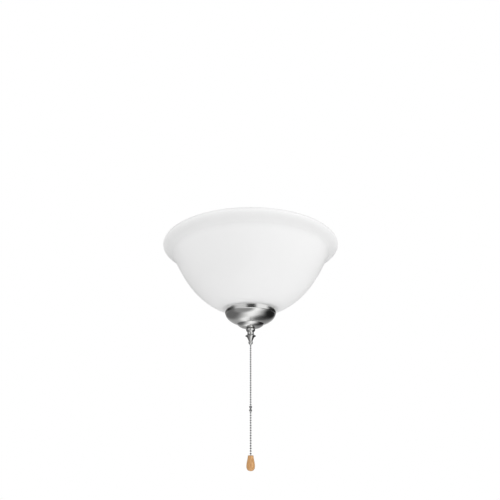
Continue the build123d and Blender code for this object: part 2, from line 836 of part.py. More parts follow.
with BuildPart() as switch_case:
    with BuildSketch(Plane.XY.offset(plate_top)):
        with Locations((-case_wall / 2, case_centre)):
            Rectangle(case_inner_half * 2 + case_wall, case_front - case_back + case_wall * 2)
    extrude(amount=case_height)
    with BuildSketch(Plane.XY.offset(floor_z)):
        with Locations((case_wall / 2, case_centre)):
            Rectangle(case_inner_half * 2 + case_wall, case_front - case_back)
    extrude(amount=case_height - case_wall * 2, mode=Mode.SUBTRACT)
    with BuildSketch(Plane.XY.offset(plate_top)):
        Circle(bushing_radius)
    extrude(amount=case_wall, mode=Mode.SUBTRACT)
    with BuildSketch(Plane.XZ.offset(-case_back)):
        with Locations((-terminal_spread, terminal_z), (terminal_spread, terminal_z)):
            Rectangle(terminal_thickness, terminal_width)
    extrude(amount=case_wall, mode=Mode.SUBTRACT)
    chamfer(switch_case.edges().filter_by(Axis.Y).group_by(Axis.Z)[-1].sort_by(Axis.X)[0], case_edge)
switch_case.part.label = "switch_case"
export_step(switch_case.part, "parts/switch_case.step")

with BuildPart() as switch_lid:
    with BuildSketch(Plane.XY.offset(plate_top)):
        with Locations((case_inner_half + case_wall / 2, case_centre)):
            Rectangle(case_wall, case_front - case_back + case_wall * 2)
    extrude(amount=case_height)
    chamfer(switch_lid.edges().filter_by(Axis.Y).group_by(Axis.Z)[-1].sort_by(Axis.X)[-1], case_edge)
switch_lid.part.label = "switch_lid"
export_step(switch_lid.part, "parts/switch_lid.step")

with BuildPart() as switch_bushing:
    with BuildSketch(Plane.XY.offset(bushing_bottom)):
        Circle(bushing_radius)
    extrude(amount=floor_z - bushing_bottom)
    with BuildSketch(Plane.XY.offset(floor_z)):
        Circle(bushing_flange)
        with Locations((0, case_front + bushing_flange / 2 - seat_gap)):
            Rectangle(bushing_flange * 2, bushing_flange, mode=Mode.SUBTRACT)
    extrude(amount=bushing_flange_height)
    with BuildSketch(Plane.XY.offset(bushing_bottom)):
        Circle(bushing_bore)
    extrude(amount=flange_top - bushing_bottom, mode=Mode.SUBTRACT)
    mouth = switch_bushing.edges().filter_by(GeomType.CIRCLE).group_by(Axis.Z)[0].sort_by(SortBy.RADIUS)
    chamfer(mouth[-1], bushing_chamfer)
switch_bushing.part.label = "switch_bushing"
export_step(switch_bushing.part, "parts/switch_bushing.step")

switch_nut_bottom = plate_bottom - bushing_nut_height
switch_bushing_nut = hex_nuts(
    [switch_nut_bottom], bushing_nut_height, bushing_nut_across, bushing_radius
)
switch_bushing_nut.part.label = "switch_bushing_nut"
export_step(switch_bushing_nut.part, "parts/switch_bushing_nut.step")

with BuildPart() as switch_pivot_pin:
    with BuildSketch(Plane(origin=(-case_inner_half, -lever_arm, lever_z), z_dir=(1, 0, 0))):
        Circle(pivot_radius)
    extrude(amount=case_inner_half * 2)
switch_pivot_pin.part.label = "switch_pivot_pin"
export_step(switch_pivot_pin.part, "parts/switch_pivot_pin.step")

# The forked lever rests tilted up by half of its swing
with BuildPart() as switch_lever:
    along = Vector(0, math.cos(tilt), math.sin(tilt))
    lever_plane = Plane(origin=(0, -lever_arm, lever_z), x_dir=along, z_dir=(1, 0, 0))
    fork_end = lever_arm / math.cos(tilt) + lever_tip
    with BuildSketch(lever_plane):
        Circle(lever_boss)
        with Locations((fork_end / 2, 0)):
            Rectangle(fork_end, lever_thickness)
    extrude(amount=lever_width / 2, both=True)
    with BuildSketch(lever_plane):
        Circle(pivot_radius + running_gap)
    extrude(amount=lever_width, both=True, mode=Mode.SUBTRACT)
    across_lever = Vector(0, -math.sin(tilt), math.cos(tilt))
    fork_plane = Plane(origin=(0, -lever_arm, lever_z), x_dir=along, z_dir=across_lever)
    with BuildSketch(fork_plane.offset(-lever_thickness)):
        with Locations((lever_arm, 0)):
            Circle(lever_slot / 2)
        with Locations((lever_arm + lever_tip, 0)):
            Rectangle(lever_tip * 2, lever_slot)
    extrude(amount=lever_thickness * 2, mode=Mode.SUBTRACT)
switch_lever.part.label = "switch_lever"
export_step(switch_lever.part, "parts/switch_lever.step")

# Plunger: ball head over the fork, collar under it, rod, and a bell that holds the chain
with BuildPart() as switch_plunger:
    bell_radius = bead_radius + slip_gap + bell_wall
    bell_top = chain_top + bell_radius
    bell_bottom = chain_top - bead_radius / 2
    with BuildSketch(Plane.XZ):
        with BuildLine():
            Line((0, head_z + plunger_head), (0, bell_top - bell_wall))
            RadiusArc(
                (0, bell_top - bell_wall),
                (bell_radius - bell_wall, chain_top),
                bell_radius - bell_wall,
            )
            Line((bell_radius - bell_wall, chain_top), (bell_radius - bell_wall, bell_bottom))
            Line((bell_radius - bell_wall, bell_bottom), (bell_radius, bell_bottom))
            Line((bell_radius, bell_bottom), (bell_radius, chain_top))
            bell_shoulder = chain_top + math.sqrt(bell_radius**2 - plunger_rod**2)
            RadiusArc((bell_radius, chain_top), (plunger_rod, bell_shoulder), -bell_radius)
            Line((plunger_rod, bell_shoulder), (plunger_rod, collar_top - collar_height))
            Line((plunger_rod, collar_top - collar_height), (collar_radius, collar_top - collar_height))
            Line((collar_radius, collar_top - collar_height), (collar_radius, collar_top))
            Line((collar_radius, collar_top), (plunger_stem, collar_top))
            head_foot = head_z - math.sqrt(plunger_head**2 - plunger_stem**2)
            Line((plunger_stem, collar_top), (plunger_stem, head_foot))
            ThreePointArc((plunger_stem, head_foot), (plunger_head, head_z), (0, head_z + plunger_head))
        make_face()
    revolve(axis=Axis.Z)
switch_plunger.part.label = "switch_plunger"
export_step(switch_plunger.part, "parts/switch_plunger.step")

with BuildPart() as switch_spring:
    spring_low = flange_top + spring_wire / 2
    spring_high = collar_top - collar_height - spring_wire / 2
    with BuildLine():
        coil = Helix(
            pitch=(spring_high - spring_low) / spring_turns,
            height=spring_high - spring_low,
            radius=spring_radius,
            center=(0, 0, spring_low),
        )
    with BuildSketch(Plane(origin=coil @ 0, z_dir=coil % 0)):
        Circle(spring_wire / 2)
    sweep(path=coil, is_frenet=True)
switch_spring.part.label = "switch_spring"
export_step(switch_spring.part, "parts/switch_spring.step")

with BuildPart() as switch_terminals:
    with BuildSketch(Plane.XZ.offset(-case_back - case_end_room / 2)):
        with Locations((-terminal_spread, terminal_z), (terminal_spread, terminal_z)):
            Rectangle(terminal_thickness, terminal_width)
    extrude(amount=case_end_room / 2 + case_wall + terminal_reach)
switch_terminals.part.label = "switch_terminals"
export_step(switch_terminals.part, "parts/switch_terminals.step")

# Bulb holders, brackets and bulbs, the same on both sides
shell_inner = cap_thread_radius + running_gap
shell_outer = shell_inner + shell_wall
cavity_radius = shell_outer + slip_gap
contact_top = socket_floor + contact_rise
foot_z = contact_top + seat_gap
cap_start = foot_z + foot_contact_height + foot_taper
cap_end = foot_z + bulb_cap_length
body_end = cap_end + bulb_body_length
globe_centre = foot_z + bulb_length - globe_radius
neck_radius = cap_thread_radius - bulb_wall

for name, side in (("left", -1), ("right", 1)):
    origin = Vector(side * socket_inset, 0, socket_z)
    outward = Vector(side * tilt_out, 0, -tilt_down)
    upward = Vector(side * tilt_down, 0, tilt_out)
    holder_axis = Axis(origin, outward)
    section = Plane(origin=origin, x_dir=upward, z_dir=upward.cross(outward))
    rear = Plane(origin=origin, x_dir=upward, z_dir=outward)

    # Sheet bracket: a tilted leg behind the holder, turned inward under the plate as a wide ear
    with BuildPart() as socket_bracket:
        flange_bottom = plate_bottom - bracket_wall
        flange_end = side * (bracket_bend - bracket_flange)
        back_rise = (flange_bottom - socket_z - bracket_wall * tilt_down) / tilt_out
        with BuildSketch(Plane.XZ):
            with BuildLine():
                leg_foot = origin - upward * bracket_low
                leg_back = leg_foot - outward * bracket_wall
                back_bend = origin + upward * back_rise - outward * bracket_wall
                Polyline(
                    (leg_foot.X, leg_foot.Z),
                    (side * bracket_bend, plate_bottom),
                    (flange_end, plate_bottom),
                    (flange_end, flange_bottom),
                    (back_bend.X, flange_bottom),
                    (leg_back.X, leg_back.Z),
                    close=True,
                )
            make_face()
        extrude(amount=bracket_width / 2, both=True)
        with BuildSketch(Plane.XY.offset(plate_bottom)):
            with Locations((side * flange_middle, 0)):
                RectangleRounded(bracket_flange, bracket_ear * 2, bracket_corner)
        extrude(amount=-bracket_wall)
        with BuildSketch(Plane.XY.offset(plate_bottom + overrun)):
            with Locations(*bracket_rivet_places):
                Circle(rivet_radius)
        extrude(amount=-bracket_wall - overrun * 2, mode=Mode.SUBTRACT)
        with BuildSketch(rear.offset(-bracket_wall - overrun)):
            with Locations((-holder_screw_spread, 0), (holder_screw_spread, 0)):
                Circle(holder_screw_radius)
        extrude(amount=bracket_wall + overrun * 2, mode=Mode.SUBTRACT)
        foot_corners = socket_bracket.edges().filter_by(holder_axis).group_by(Axis.Z)[0]
        fillet(foot_corners, bracket_corner)
    socket_bracket.part.label = f"{name}_socket_bracket"
    export_step(socket_bracket.part, f"parts/{name}_socket_bracket.step")

    # Moulded holder: a floor, a narrow neck and a flared front
    with BuildPart() as socket_body:
        with BuildSketch(section):
            with BuildLine():
                Polyline(
                    (0, 0),
                    (socket_neck - socket_edge, 0),
                    (socket_neck, socket_edge),
                    (socket_neck, socket_length - socket_flare),
                    (socket_radius, socket_length - socket_flare + socket_radius - socket_neck),
                    (socket_radius, socket_length - socket_edge),
                    (socket_radius - socket_edge, socket_length),
                    (cavity_radius, socket_length),
                    (cavity_radius, socket_floor),
                    (0, socket_floor),
                    close=True,
                )
            make_face()
        revolve(axis=holder_axis)
        with BuildSketch(rear):
            with Locations((-holder_screw_spread, 0), (holder_screw_spread, 0)):
                Circle(holder_screw_radius)
        extrude(amount=holder_screw_bite, mode=Mode.SUBTRACT)
    socket_body.part.label = f"{name}_socket_body"
    export_step(socket_body.part, f"parts/{name}_socket_body.step")

    with BuildPart() as screw_shell:
        with BuildSketch(section):
            with BuildLine():
                Polyline(
                    (shell_hole, socket_floor),
                    (shell_outer, socket_floor),
                    (shell_outer, socket_floor + shell_length),
                    (shell_inner, socket_floor + shell_length),
                    (shell_inner, socket_floor + shell_wall),
                    (shell_hole, socket_floor + shell_wall),
                    close=True,
                )
            make_face()
        revolve(axis=holder_axis)
    screw_shell.part.label = f"{name}_screw_shell"
    export_step(screw_shell.part, f"parts/{name}_screw_shell.step")

    # Sprung contact: a strip that lies on the floor and lifts at its middle
    with BuildPart() as centre_contact:
        with BuildSketch(section):
            with BuildLine():
                low = socket_floor
                high = contact_top
                half = contact_length / 2
                crown = contact_width / 2
                Polyline(
                    (-half, low),
                    (-crown, low),
                    (contact_thickness - crown, high - contact_thickness),
                    (crown, high - contact_thickness),
                    (crown, high),
                    (-crown, high),
                    (-crown - contact_thickness, low + contact_thickness),
                    (-half, low + contact_thickness),
                    close=True,
                )
            make_face()
        extrude(amount=contact_width / 2, both=True)
    centre_contact.part.label = f"{name}_centre_contact"
    export_step(centre_contact.part, f"parts/{name}_centre_contact.step")

    with BuildPart() as bulb_contact:
        with BuildSketch(section):
            with BuildLine():
                Polyline(
                    (0, foot_z),
                    (foot_contact_radius - foot_contact_height, foot_z),
                    (foot_contact_radius, foot_z + foot_contact_height),
                    (0, foot_z + foot_contact_height),
                    close=True,
                )
            make_face()
        revolve(axis=holder_axis)
    bulb_contact.part.label = f"{name}_bulb_contact"
    export_step(bulb_contact.part, f"parts/{name}_bulb_contact.step")

    with BuildPart() as bulb_cap:
        with BuildSketch(section):
            with BuildLine():
                Polyline(
                    (0, foot_z + foot_contact_height),
                    (foot_contact_radius, foot_z + foot_contact_height),
                    (cap_thread_radius - foot_taper / 2, cap_start),
                    (cap_thread_radius, cap_start + foot_taper / 2),
                    (cap_thread_radius, cap_end),
                    (neck_radius, cap_end),
                    (neck_radius, cap_start + foot_taper),
                    (0, cap_start + foot_taper),
                    close=True,
                )
            make_face()
        revolve(axis=holder_axis)
    bulb_cap.part.label = f"{name}_bulb_cap"
    export_step(bulb_cap.part, f"parts/{name}_bulb_cap.step")

    # Tapered bulb body: it grips the cap's rim and carries the globe
    globe_seat = math.sqrt(globe_radius**2 - (globe_centre - body_end) ** 2)
    with BuildPart() as bulb_body:
        with BuildSketch(section):
            with BuildLine():
                Polyline(
                    (neck_radius - bulb_wall, cap_end - bulb_body_length / 2),
                    (neck_radius, cap_end - bulb_body_length / 2),
                    (neck_radius, cap_end),
                    (cap_thread_radius, cap_end),
                )
                Bezier(
                    (cap_thread_radius, cap_end),
                    (cap_thread_radius, (cap_end + body_end) / 2),
                    (globe_seat - bulb_wall, (cap_end + body_end) / 2),
                    (globe_seat, body_end),
                )
                Polyline(
                    (globe_seat, body_end),
                    (globe_seat - bulb_wall * 2, body_end),
                    (neck_radius - bulb_wall, cap_end),
                    (neck_radius - bulb_wall, cap_end - bulb_body_length / 2),
                )
            make_face()
        revolve(axis=holder_axis)
    bulb_body.part.label = f"{name}_bulb_body"
    export_step(bulb_body.part, f"parts/{name}_bulb_body.step")

    with BuildPart() as bulb_globe:
        inner_seat = math.sqrt((globe_radius - bulb_wall) ** 2 - (globe_centre - body_end) ** 2)
        with BuildSketch(section):
            with BuildLine():
                ThreePointArc(
                    (globe_seat, body_end),
                    (globe_radius, globe_centre),
                    (0, globe_centre + globe_radius),
                )
                Line((0, globe_centre + globe_radius), (0, globe_centre + globe_radius - bulb_wall))
                ThreePointArc(
                    (0, globe_centre + globe_radius - bulb_wall),
                    (globe_radius - bulb_wall, globe_centre),
                    (inner_seat, body_end),
                )
                Line((inner_seat, body_end), (globe_seat, body_end))
            make_face()
        revolve(axis=holder_axis)
    bulb_globe.part.label = f"{name}_bulb_globe"
    export_step(bulb_globe.part, f"parts/{name}_bulb_globe.step")

with BuildPart() as socket_screws:
    for side in (-1, 1):
        origin = Vector(side * socket_inset, 0, socket_z)
        outward = Vector(side * tilt_out, 0, -tilt_down)
        upward = Vector(side * tilt_down, 0, tilt_out)
        rear = Plane(origin=origin, x_dir=upward, z_dir=outward)
        with BuildSketch(rear.offset(-bracket_wall)):
            with Locations((-holder_screw_spread, 0), (holder_screw_spread, 0)):
                Circle(holder_screw_radius)
        extrude(amount=bracket_wall + holder_screw_bite)
        with BuildSketch(rear.offset(-bracket_wall)):
            with Locations((-holder_screw_spread, 0), (holder_screw_spread, 0)):
                Circle(holder_screw_head)
        extrude(amount=-holder_screw_head_height, taper=screw_taper)
socket_screws.part.label = "socket_screws"
export_step(socket_screws.part, "parts/socket_screws.step")

# Grommets in the plate, leads, and the connectors that join them
with BuildPart() as wire_grommets:
    for side in (-1, 1):
        centre = side * grommet_offset
        lip = grommet_radius + wire_grommet_lip
        with BuildSketch(Plane.XZ):
            with BuildLine():
                Polyline(
                    (centre + wire_grommet_bore, plate_top + wire_grommet_lip),
                    (centre + lip - wire_grommet_lip / 2, plate_top + wire_grommet_lip),
                    (centre + lip, plate_top),
                    (centre + grommet_radius, plate_top),
                    (centre + grommet_radius, plate_bottom),
                    (centre + lip, plate_bottom),
                    (centre + lip - wire_grommet_lip / 2, plate_bottom - wire_grommet_lip),
                    (centre + wire_grommet_bore, plate_bottom - wire_grommet_lip),
                    close=True,
                )
            make_face()
        revolve(axis=Axis((centre, 0, 0), (0, 0, 1)))
wire_grommets.part.label = "wire_grommets"
export_step(wire_grommets.part, "parts/wire_grommets.step")

connector_z = plate_top + connector_lift
lead_crossing = lead_radius * 2 + seat_gap
connector_places = [
    Plane(origin=(0, -connector_offset, connector_z)),
    Plane(origin=(0, connector_offset, connector_z)),
    Plane(origin=(connector_side, -connector_forward, connector_z + lead_crossing)),
]
with BuildPart() as wire_connectors:
    for place in connector_places:
        with BuildSketch(place):
            RegularPolygon(connector_mouth, connector_sides)
        with BuildSketch(place.offset(connector_height)):
            RegularPolygon(connector_tip, connector_sides)
        loft()
        with BuildSketch(place):
            Circle(connector_pocket)
        extrude(amount=connector_depth, mode=Mode.SUBTRACT)
wire_connectors.part.label = "wire_connectors"
export_step(wire_connectors.part, "parts/wire_connectors.step")

lead_top = connector_z + connector_depth
run_z = plate_top + lead_lift


def socket_lead(side, across, end):
    """Route of a lead from a holder's back, through the grommet, to its connector."""
    start = Vector(side * socket_inset, across * lead_exit, socket_z)
    back = Vector(-side * tilt_out, 0, tilt_down) * lead_back
    in_grommet = across * pair_spread
    return [
        start,
        start + back,
        Vector(side * grommet_offset, in_grommet, plate_bottom - lead_drop),
        Vector(side * grommet_offset, in_grommet, run_z),
        Vector(*end, run_z),
        Vector(*end, lead_top),
    ]


def tubes(routes):
    """One round lead along each route."""
    with BuildPart() as made:
        for route in routes:
            with BuildLine():
                line = FilletPolyline(*route, radius=lead_bend)
            with BuildSketch(Plane(origin=line @ 0, z_dir=line % 0)):
                Circle(lead_radius)
            sweep(path=line)
    return made


black_ends = [(-triple_spread, -connector_offset), (triple_spread, -connector_offset)]
white_ends = [(-triple_spread, connector_offset), (triple_spread, connector_offset)]

socket_leads_black = tubes([socket_lead(-1, -1, black_ends[0]), socket_lead(1, -1, black_ends[1])])
socket_leads_black.part.label = "socket_leads_black"
export_step(socket_leads_black.part, "parts/socket_leads_black.step")

socket_leads_white = tubes([socket_lead(-1, 1, white_ends[0]), socket_lead(1, 1, white_ends[1])])
socket_leads_white.part.label = "socket_leads_white"
export_step(socket_leads_white.part, "parts/socket_leads_white.step")


def switch_lead(across, end, low):
    """Route of a lead from a terminal, down behind the case, to its connector."""
    drop_y = terminal_end - lead_turn
    return [
        Vector(across, terminal_end, terminal_z),
        Vector(across, drop_y, terminal_z),
        Vector(across, drop_y, low),
        Vector(*end, low),
        Vector(*end, low + lead_top - run_z),
    ]


switched_end = (0, -connector_offset + connector_pocket - lead_radius - slip_gap)
supply_end = (connector_side, -connector_forward)
switch_leads = tubes(
    [
        switch_lead(-terminal_spread, switched_end, run_z),
        switch_lead(terminal_spread, supply_end, run_z + lead_crossing),
    ]
)
switch_leads.part.label = "switch_leads"
export_step(switch_leads.part, "parts/switch_leads.step")
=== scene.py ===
# %% [markdown]
# # A ceiling fan light kit, dressed in Blender
#
# An opal glass bowl is held from below by a threaded rod, a spun metal cup and
# a turned finial, and a bead chain with a wooden pendant comes out of the
# finial. Two bulbs sit inside the bowl.
#
# The solids come from CAD and carry the motion. Here the pieces that show get
# finer meshes and real finishes. Every length is in metres.

# %% Load the solids
import json
import math

import bmesh
import bpy
from mathutils import Matrix, Vector


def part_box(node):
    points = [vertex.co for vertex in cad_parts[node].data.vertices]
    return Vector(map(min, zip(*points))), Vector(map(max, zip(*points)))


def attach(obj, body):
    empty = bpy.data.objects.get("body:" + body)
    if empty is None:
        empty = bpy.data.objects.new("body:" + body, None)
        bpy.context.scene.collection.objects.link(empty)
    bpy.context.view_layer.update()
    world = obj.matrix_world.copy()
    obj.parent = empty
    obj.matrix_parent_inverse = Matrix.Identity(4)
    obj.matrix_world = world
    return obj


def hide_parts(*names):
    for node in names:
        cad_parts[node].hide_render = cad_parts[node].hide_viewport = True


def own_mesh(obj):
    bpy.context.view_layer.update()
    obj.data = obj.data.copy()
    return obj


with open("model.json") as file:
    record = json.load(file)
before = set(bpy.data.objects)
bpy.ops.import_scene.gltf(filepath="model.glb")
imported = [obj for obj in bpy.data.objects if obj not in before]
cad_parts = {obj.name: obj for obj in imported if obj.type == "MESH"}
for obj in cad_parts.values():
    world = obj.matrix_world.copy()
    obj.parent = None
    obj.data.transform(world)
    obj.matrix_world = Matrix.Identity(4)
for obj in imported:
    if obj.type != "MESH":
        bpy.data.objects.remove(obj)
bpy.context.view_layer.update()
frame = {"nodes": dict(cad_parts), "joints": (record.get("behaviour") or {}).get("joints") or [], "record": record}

MM = 0.001

# %% [markdown]
# ## Heights read from the solids
#
# A finer piece has to sit exactly where its solid sits. Rather than copy
# heights by hand, they are read from the solids' boxes and from the joints, so
# the two models can't drift apart.

# %% Heights down the axis
joints = {joint["name"]: joint for joint in frame["joints"]}


def low_of(node):
    """Lowest height of a solid."""
    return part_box(node)[0].z


def high_of(node):
    """Highest height of a solid."""
    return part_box(node)[1].z


rim_z = high_of("glass_bowl")
bowl_bottom = low_of("glass_bowl")
cap_bottom = low_of("bottom_cap")
finial_top = high_of("finial")
mouth_z = joints["chain_swing_fore"]["pos_m"][2]
coupling_z = joints["coupling_swing"]["pos_m"][2]
pendant_top = high_of("pendant")
print("rim", rim_z, "bowl bottom", bowl_bottom, "mouth", mouth_z, "coupling", coupling_z)

# %% [markdown]
# ## The camera
#
# The photograph looks up at the bowl from a little below it, with a wide lens
# held close. Its rim shows as a shallow ellipse, so the camera's height and
# tilt follow from how open that ellipse is.

# %% Camera
camera_lens = 28.3
camera_shift = 0.09
camera_pitch = 106.97
camera_place = Vector((-0.001, -0.6488, -0.3274))

camera_data = bpy.data.cameras.new("photo_camera")
camera_data.lens = camera_lens
camera_data.shift_y = camera_shift
camera = bpy.data.objects.new("photo_camera", camera_data)
camera.location = camera_place
camera.rotation_euler = (math.radians(camera_pitch), 0, 0)
bpy.context.scene.collection.objects.link(camera)
bpy.context.scene.camera = camera
bpy.context.scene.view_settings.view_transform = "Standard"
print("camera is", round(camera_place.length, 3), "m from the top of the kit")

# %% [markdown]
# ## Turning a shape on a lathe
#
# Nearly every piece here is round, as it was spun, turned or blown. The same
# helper makes them all: rings of points around the axis, joined by faces. A
# ring may be more than a circle, since its radius and height can change with
# the angle. That gives threads, flutes and hexagons with no extra tools. A
# Screw modifier could turn a profile as well, but it keeps the radius the same
# all the way round.

# %% Lathe helpers
smooth_limit = math.radians(32)
weld_distance = 0.001 * MM
finishes = {}


def finished(mesh, body, slot, node, place=Matrix.Identity(4)):
    """Shades a mesh, gives it its slot's finish, hangs it on its body and hides the solid that it stands for."""
    if len(mesh.materials) == 0:
        mesh.materials.append(finishes[slot])
    mesh.shade_smooth()
    mesh.set_sharp_from_angle(angle=smooth_limit)
    piece = bpy.data.objects.new(mesh.name, mesh)
    piece.matrix_world = place
    bpy.context.scene.collection.objects.link(piece)
    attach(piece, body)
    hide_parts(node)
    print(mesh.name, "faces:", len(mesh.polygons))
    return piece


def ringed(mesh, rings, steps, place=Matrix.Identity(4)):
    """Adds a closed surface through rings. A ring is a function from angle to radius and height."""
    shape = bmesh.new()
    shape.from_mesh(mesh)
    rows = []
    for ring in rings:
        row = []
        for step in range(steps):
            angle = 2 * math.pi * step / steps
            radius, height = ring(angle)
            spot = Vector((radius * math.cos(angle), radius * math.sin(angle), height))
            row.append(shape.verts.new(place @ spot))
        rows.append(row)
    for first, last in zip(rows, rows[1:] + rows[:1]):
        for step in range(steps):
            after = (step + 1) % steps
            shape.faces.new((first[step], first[after], last[after], last[step]))
    bmesh.ops.remove_doubles(shape, verts=shape.verts, dist=weld_distance)
    loose = [edge for edge in shape.edges if not edge.link_faces]
    bmesh.ops.delete(shape, geom=loose, context="EDGES")
    bmesh.ops.recalc_face_normals(shape, faces=shape.faces)
    shape.to_mesh(mesh)
    shape.free()


def circles(profile, cut=None):
    """Rings from radius and height pairs. cut says how far a point moves in."""
    def circle(radius, height):
        if cut is None:
            return lambda angle: (radius, height)
        return lambda angle: (radius - cut(angle, radius, height), height)

    return [circle(*point) for point in profile]


def turned(name, profile, steps, cut=None):
    """A mesh turned from a closed profile of radius and height pairs."""
    mesh = bpy.data.meshes.new(name)
    ringed(mesh, circles(profile, cut), steps)
    return mesh


def capped(name, outlines):
    """A mesh through closed outlines of points, with a face over both ends."""
    shape = bmesh.new()
    rows = [[shape.verts.new(point) for point in outline] for outline in outlines]
    for row, after in zip(rows, rows[1:]):
        for index in range(len(row)):
            other = (index + 1) % len(row)
            shape.faces.new((row[index], row[other], after[other], after[index]))
    shape.faces.new(rows[0])
    shape.faces.new(rows[-1])
    bmesh.ops.recalc_face_normals(shape, faces=shape.faces)
    mesh = bpy.data.meshes.new(name)
    shape.to_mesh(mesh)
    shape.free()
    return mesh


# %% Curve helpers
def bezier(points, steps=24):
    """Points along a Bezier curve, with both ends."""
    made = []
    for step in range(steps + 1):
        level = [Vector(point) for point in points]
        while len(level) > 1:
            level = [first.lerp(last, step / steps) for first, last in zip(level, level[1:])]
        made.append(tuple(level[0]))
    return made


def arc(centre, radius, first, last, steps=12):
    """Points along an arc between two angles in degrees, with both ends."""
    made = []
    for step in range(steps + 1):
        angle = math.radians(first + (last - first) * step / steps)
        made.append((centre[0] + radius * math.cos(angle), centre[1] + radius * math.sin(angle)))
    return made


def arc_along(start, end, tangent, steps=10):
    """Points of the arc that leaves start along tangent and arrives at end."""
    start, end = Vector(start), Vector(end)
    left = Vector((-tangent[1], tangent[0])).normalized()
    chord = end - start
    bend = 2 * chord.dot(left) / chord.length_squared
    if abs(bend) < 0.01:
        return [tuple(start.lerp(end, step / steps)) for step in range(steps + 1)]
    centre = start + left / bend
    begin = math.atan2(start.y - centre.y, start.x - centre.x)
    turn = 2 * math.asin(max(-1, min(1, chord.length * bend / 2)))
    radius = abs(1 / bend)
    made = []
    for step in range(steps + 1):
        angle = begin + turn * step / steps
        made.append((centre.x + radius * math.cos(angle), centre.y + radius * math.sin(angle)))
    return made


def handles(start, fall, shares):
    """Control points below a start, as shares of its radius and of a fall in height."""
    return [(out * start[0], start[1] - down * fall) for out, down in shares]


def moved_in(points, wall):
    """Control points of a curve moved to their left by a wall's thickness."""
    normals = []
    for first, last in zip(points, points[1:]):
        run = math.dist(first, last)
        normals.append(((first[1] - last[1]) / run, (last[0] - first[0]) / run))
    moved = []
    for index, point in enumerate(points):
        before = normals[max(index - 1, 0)]
        after = normals[min(index, len(normals) - 1)]
        mitre = 1 + before[0] * after[0] + before[1] * after[1]
        across = (before[0] + after[0]) * wall / mitre
        up = (before[1] + after[1]) * wall / mitre
        moved.append((point[0] + across, point[1] + up))
    return moved


print("lathe ready")

# %% [markdown]
# ## Shader node groups
#
# A metal, a glass and a plastic share the same small faults: tone that drifts,
# fine tool marks, a skin that isn't quite flat, and edges rubbed bright. Each
# fault is one node group with named inputs, built once and placed in each
# material with its own numbers. The shader itself stays in the material.

# %% Node helpers
def node_group(name, inputs, outputs):
    """A shader node group with named sockets, and its two end nodes."""
    group = bpy.data.node_groups.new(name, "ShaderNodeTree")
    for label, kind, value in inputs:
        socket = group.interface.new_socket(name=label, in_out="INPUT", socket_type=kind)
        socket.default_value = value
    for label, kind in outputs:
        group.interface.new_socket(name=label, in_out="OUTPUT", socket_type=kind)
    return group, group.nodes.new("NodeGroupInput"), group.nodes.new("NodeGroupOutput")


def add(tree, kind, feeds=None, **settings):
    """A node with its settings. feeds gives each input a value or another node's output."""
    node = tree.nodes.new("ShaderNode" + kind)
    for key, value in settings.items():
        setattr(node, key, value)
    for key, source in (feeds or {}).items():
        if isinstance(source, bpy.types.NodeSocket):
            tree.links.new(source, node.inputs[key])
        else:
            node.inputs[key].default_value = source
    return node


def maths(tree, operation, first, second=0.0):
    """The output of one Math node."""
    return add(tree, "Math", {0: first, 1: second}, operation=operation).outputs[0]


def noise(tree, place, scale, detail, roughness=0.5):
    """The value of a noise texture."""
    feeds = {"Vector": place, "Scale": scale, "Detail": detail, "Roughness": roughness}
    return add(tree, "TexNoise", feeds).outputs["Fac"]


def spread(tree, value, first, last, low=0.0, high=1.0, **settings):
    """A value that goes from low to high while another goes from first to last."""
    feeds = {"Value": value, "From Min": first, "From Max": last, "To Min": low, "To Max": high}
    return add(tree, "MapRange", feeds, **settings).outputs["Result"]


def between(tree, value, low, high):
    """A noise value, which keeps near its middle, spread between two others."""
    return spread(tree, value, 0.25, 0.75, low, high)


def scaled(tree, colour, share):
    """A colour made lighter or darker."""
    return add(tree, "VectorMath", {0: colour, "Scale": share}, operation="SCALE").outputs[0]


def blended(tree, share, first, second):
    """A colour mixed from two."""
    feeds = {"Factor": share, 6: first, 7: second}
    return add(tree, "Mix", feeds, data_type="RGBA").outputs[2]


def object_place(tree):
    """A point's place in its object's own frame."""
    return add(tree, "TexCoord").outputs["Object"]


def given_out(group, leave, results):
    """Links what a group has worked out to its outputs."""
    for label, result in results.items():
        group.links.new(result, leave.inputs[label])
    print(group.name, len(group.nodes), "nodes")


FLOAT, COLOUR = "NodeSocketFloat", "NodeSocketColor"
print("node helpers ready")

# %% [markdown]
# ### Tone that drifts
#
# No real surface has one even colour. Here a soft noise makes the colour a
# little lighter in one place and darker in another. The noise is put out too,
# so that a material's roughness can follow the same clouds.

# %% Tone that drifts
drift_group, enter, leave = node_group(
    "tone_drift",
    [("Color", COLOUR, (0.8, 0.8, 0.8, 1)), ("Scale", FLOAT, 40), ("Amount", FLOAT, 0.06)],
    [("Color", COLOUR), ("Mask", FLOAT)],
)
clouds = noise(drift_group, object_place(drift_group), enter.outputs["Scale"], 3.0, 0.55)
swing = maths(drift_group, "SUBTRACT", clouds, 0.5)
swing = maths(drift_group, "MULTIPLY", swing, enter.outputs["Amount"])
lift = maths(drift_group, "ADD", maths(drift_group, "MULTIPLY", swing, 2.0), 1.0)
shaded = scaled(drift_group, enter.outputs["Color"], lift)
given_out(drift_group, leave, {"Color": shaded, "Mask": clouds})

# %% [markdown]
# ### Marks that run round the axis
#
# Spun and turned metal carries fine lines round its axis. An anisotropic shader
# could hint at them, but then they would never be seen one by one. So the noise
# is read by the distance from the axis and the height, where it is fine, and by
# the angle, where it is stretched long.

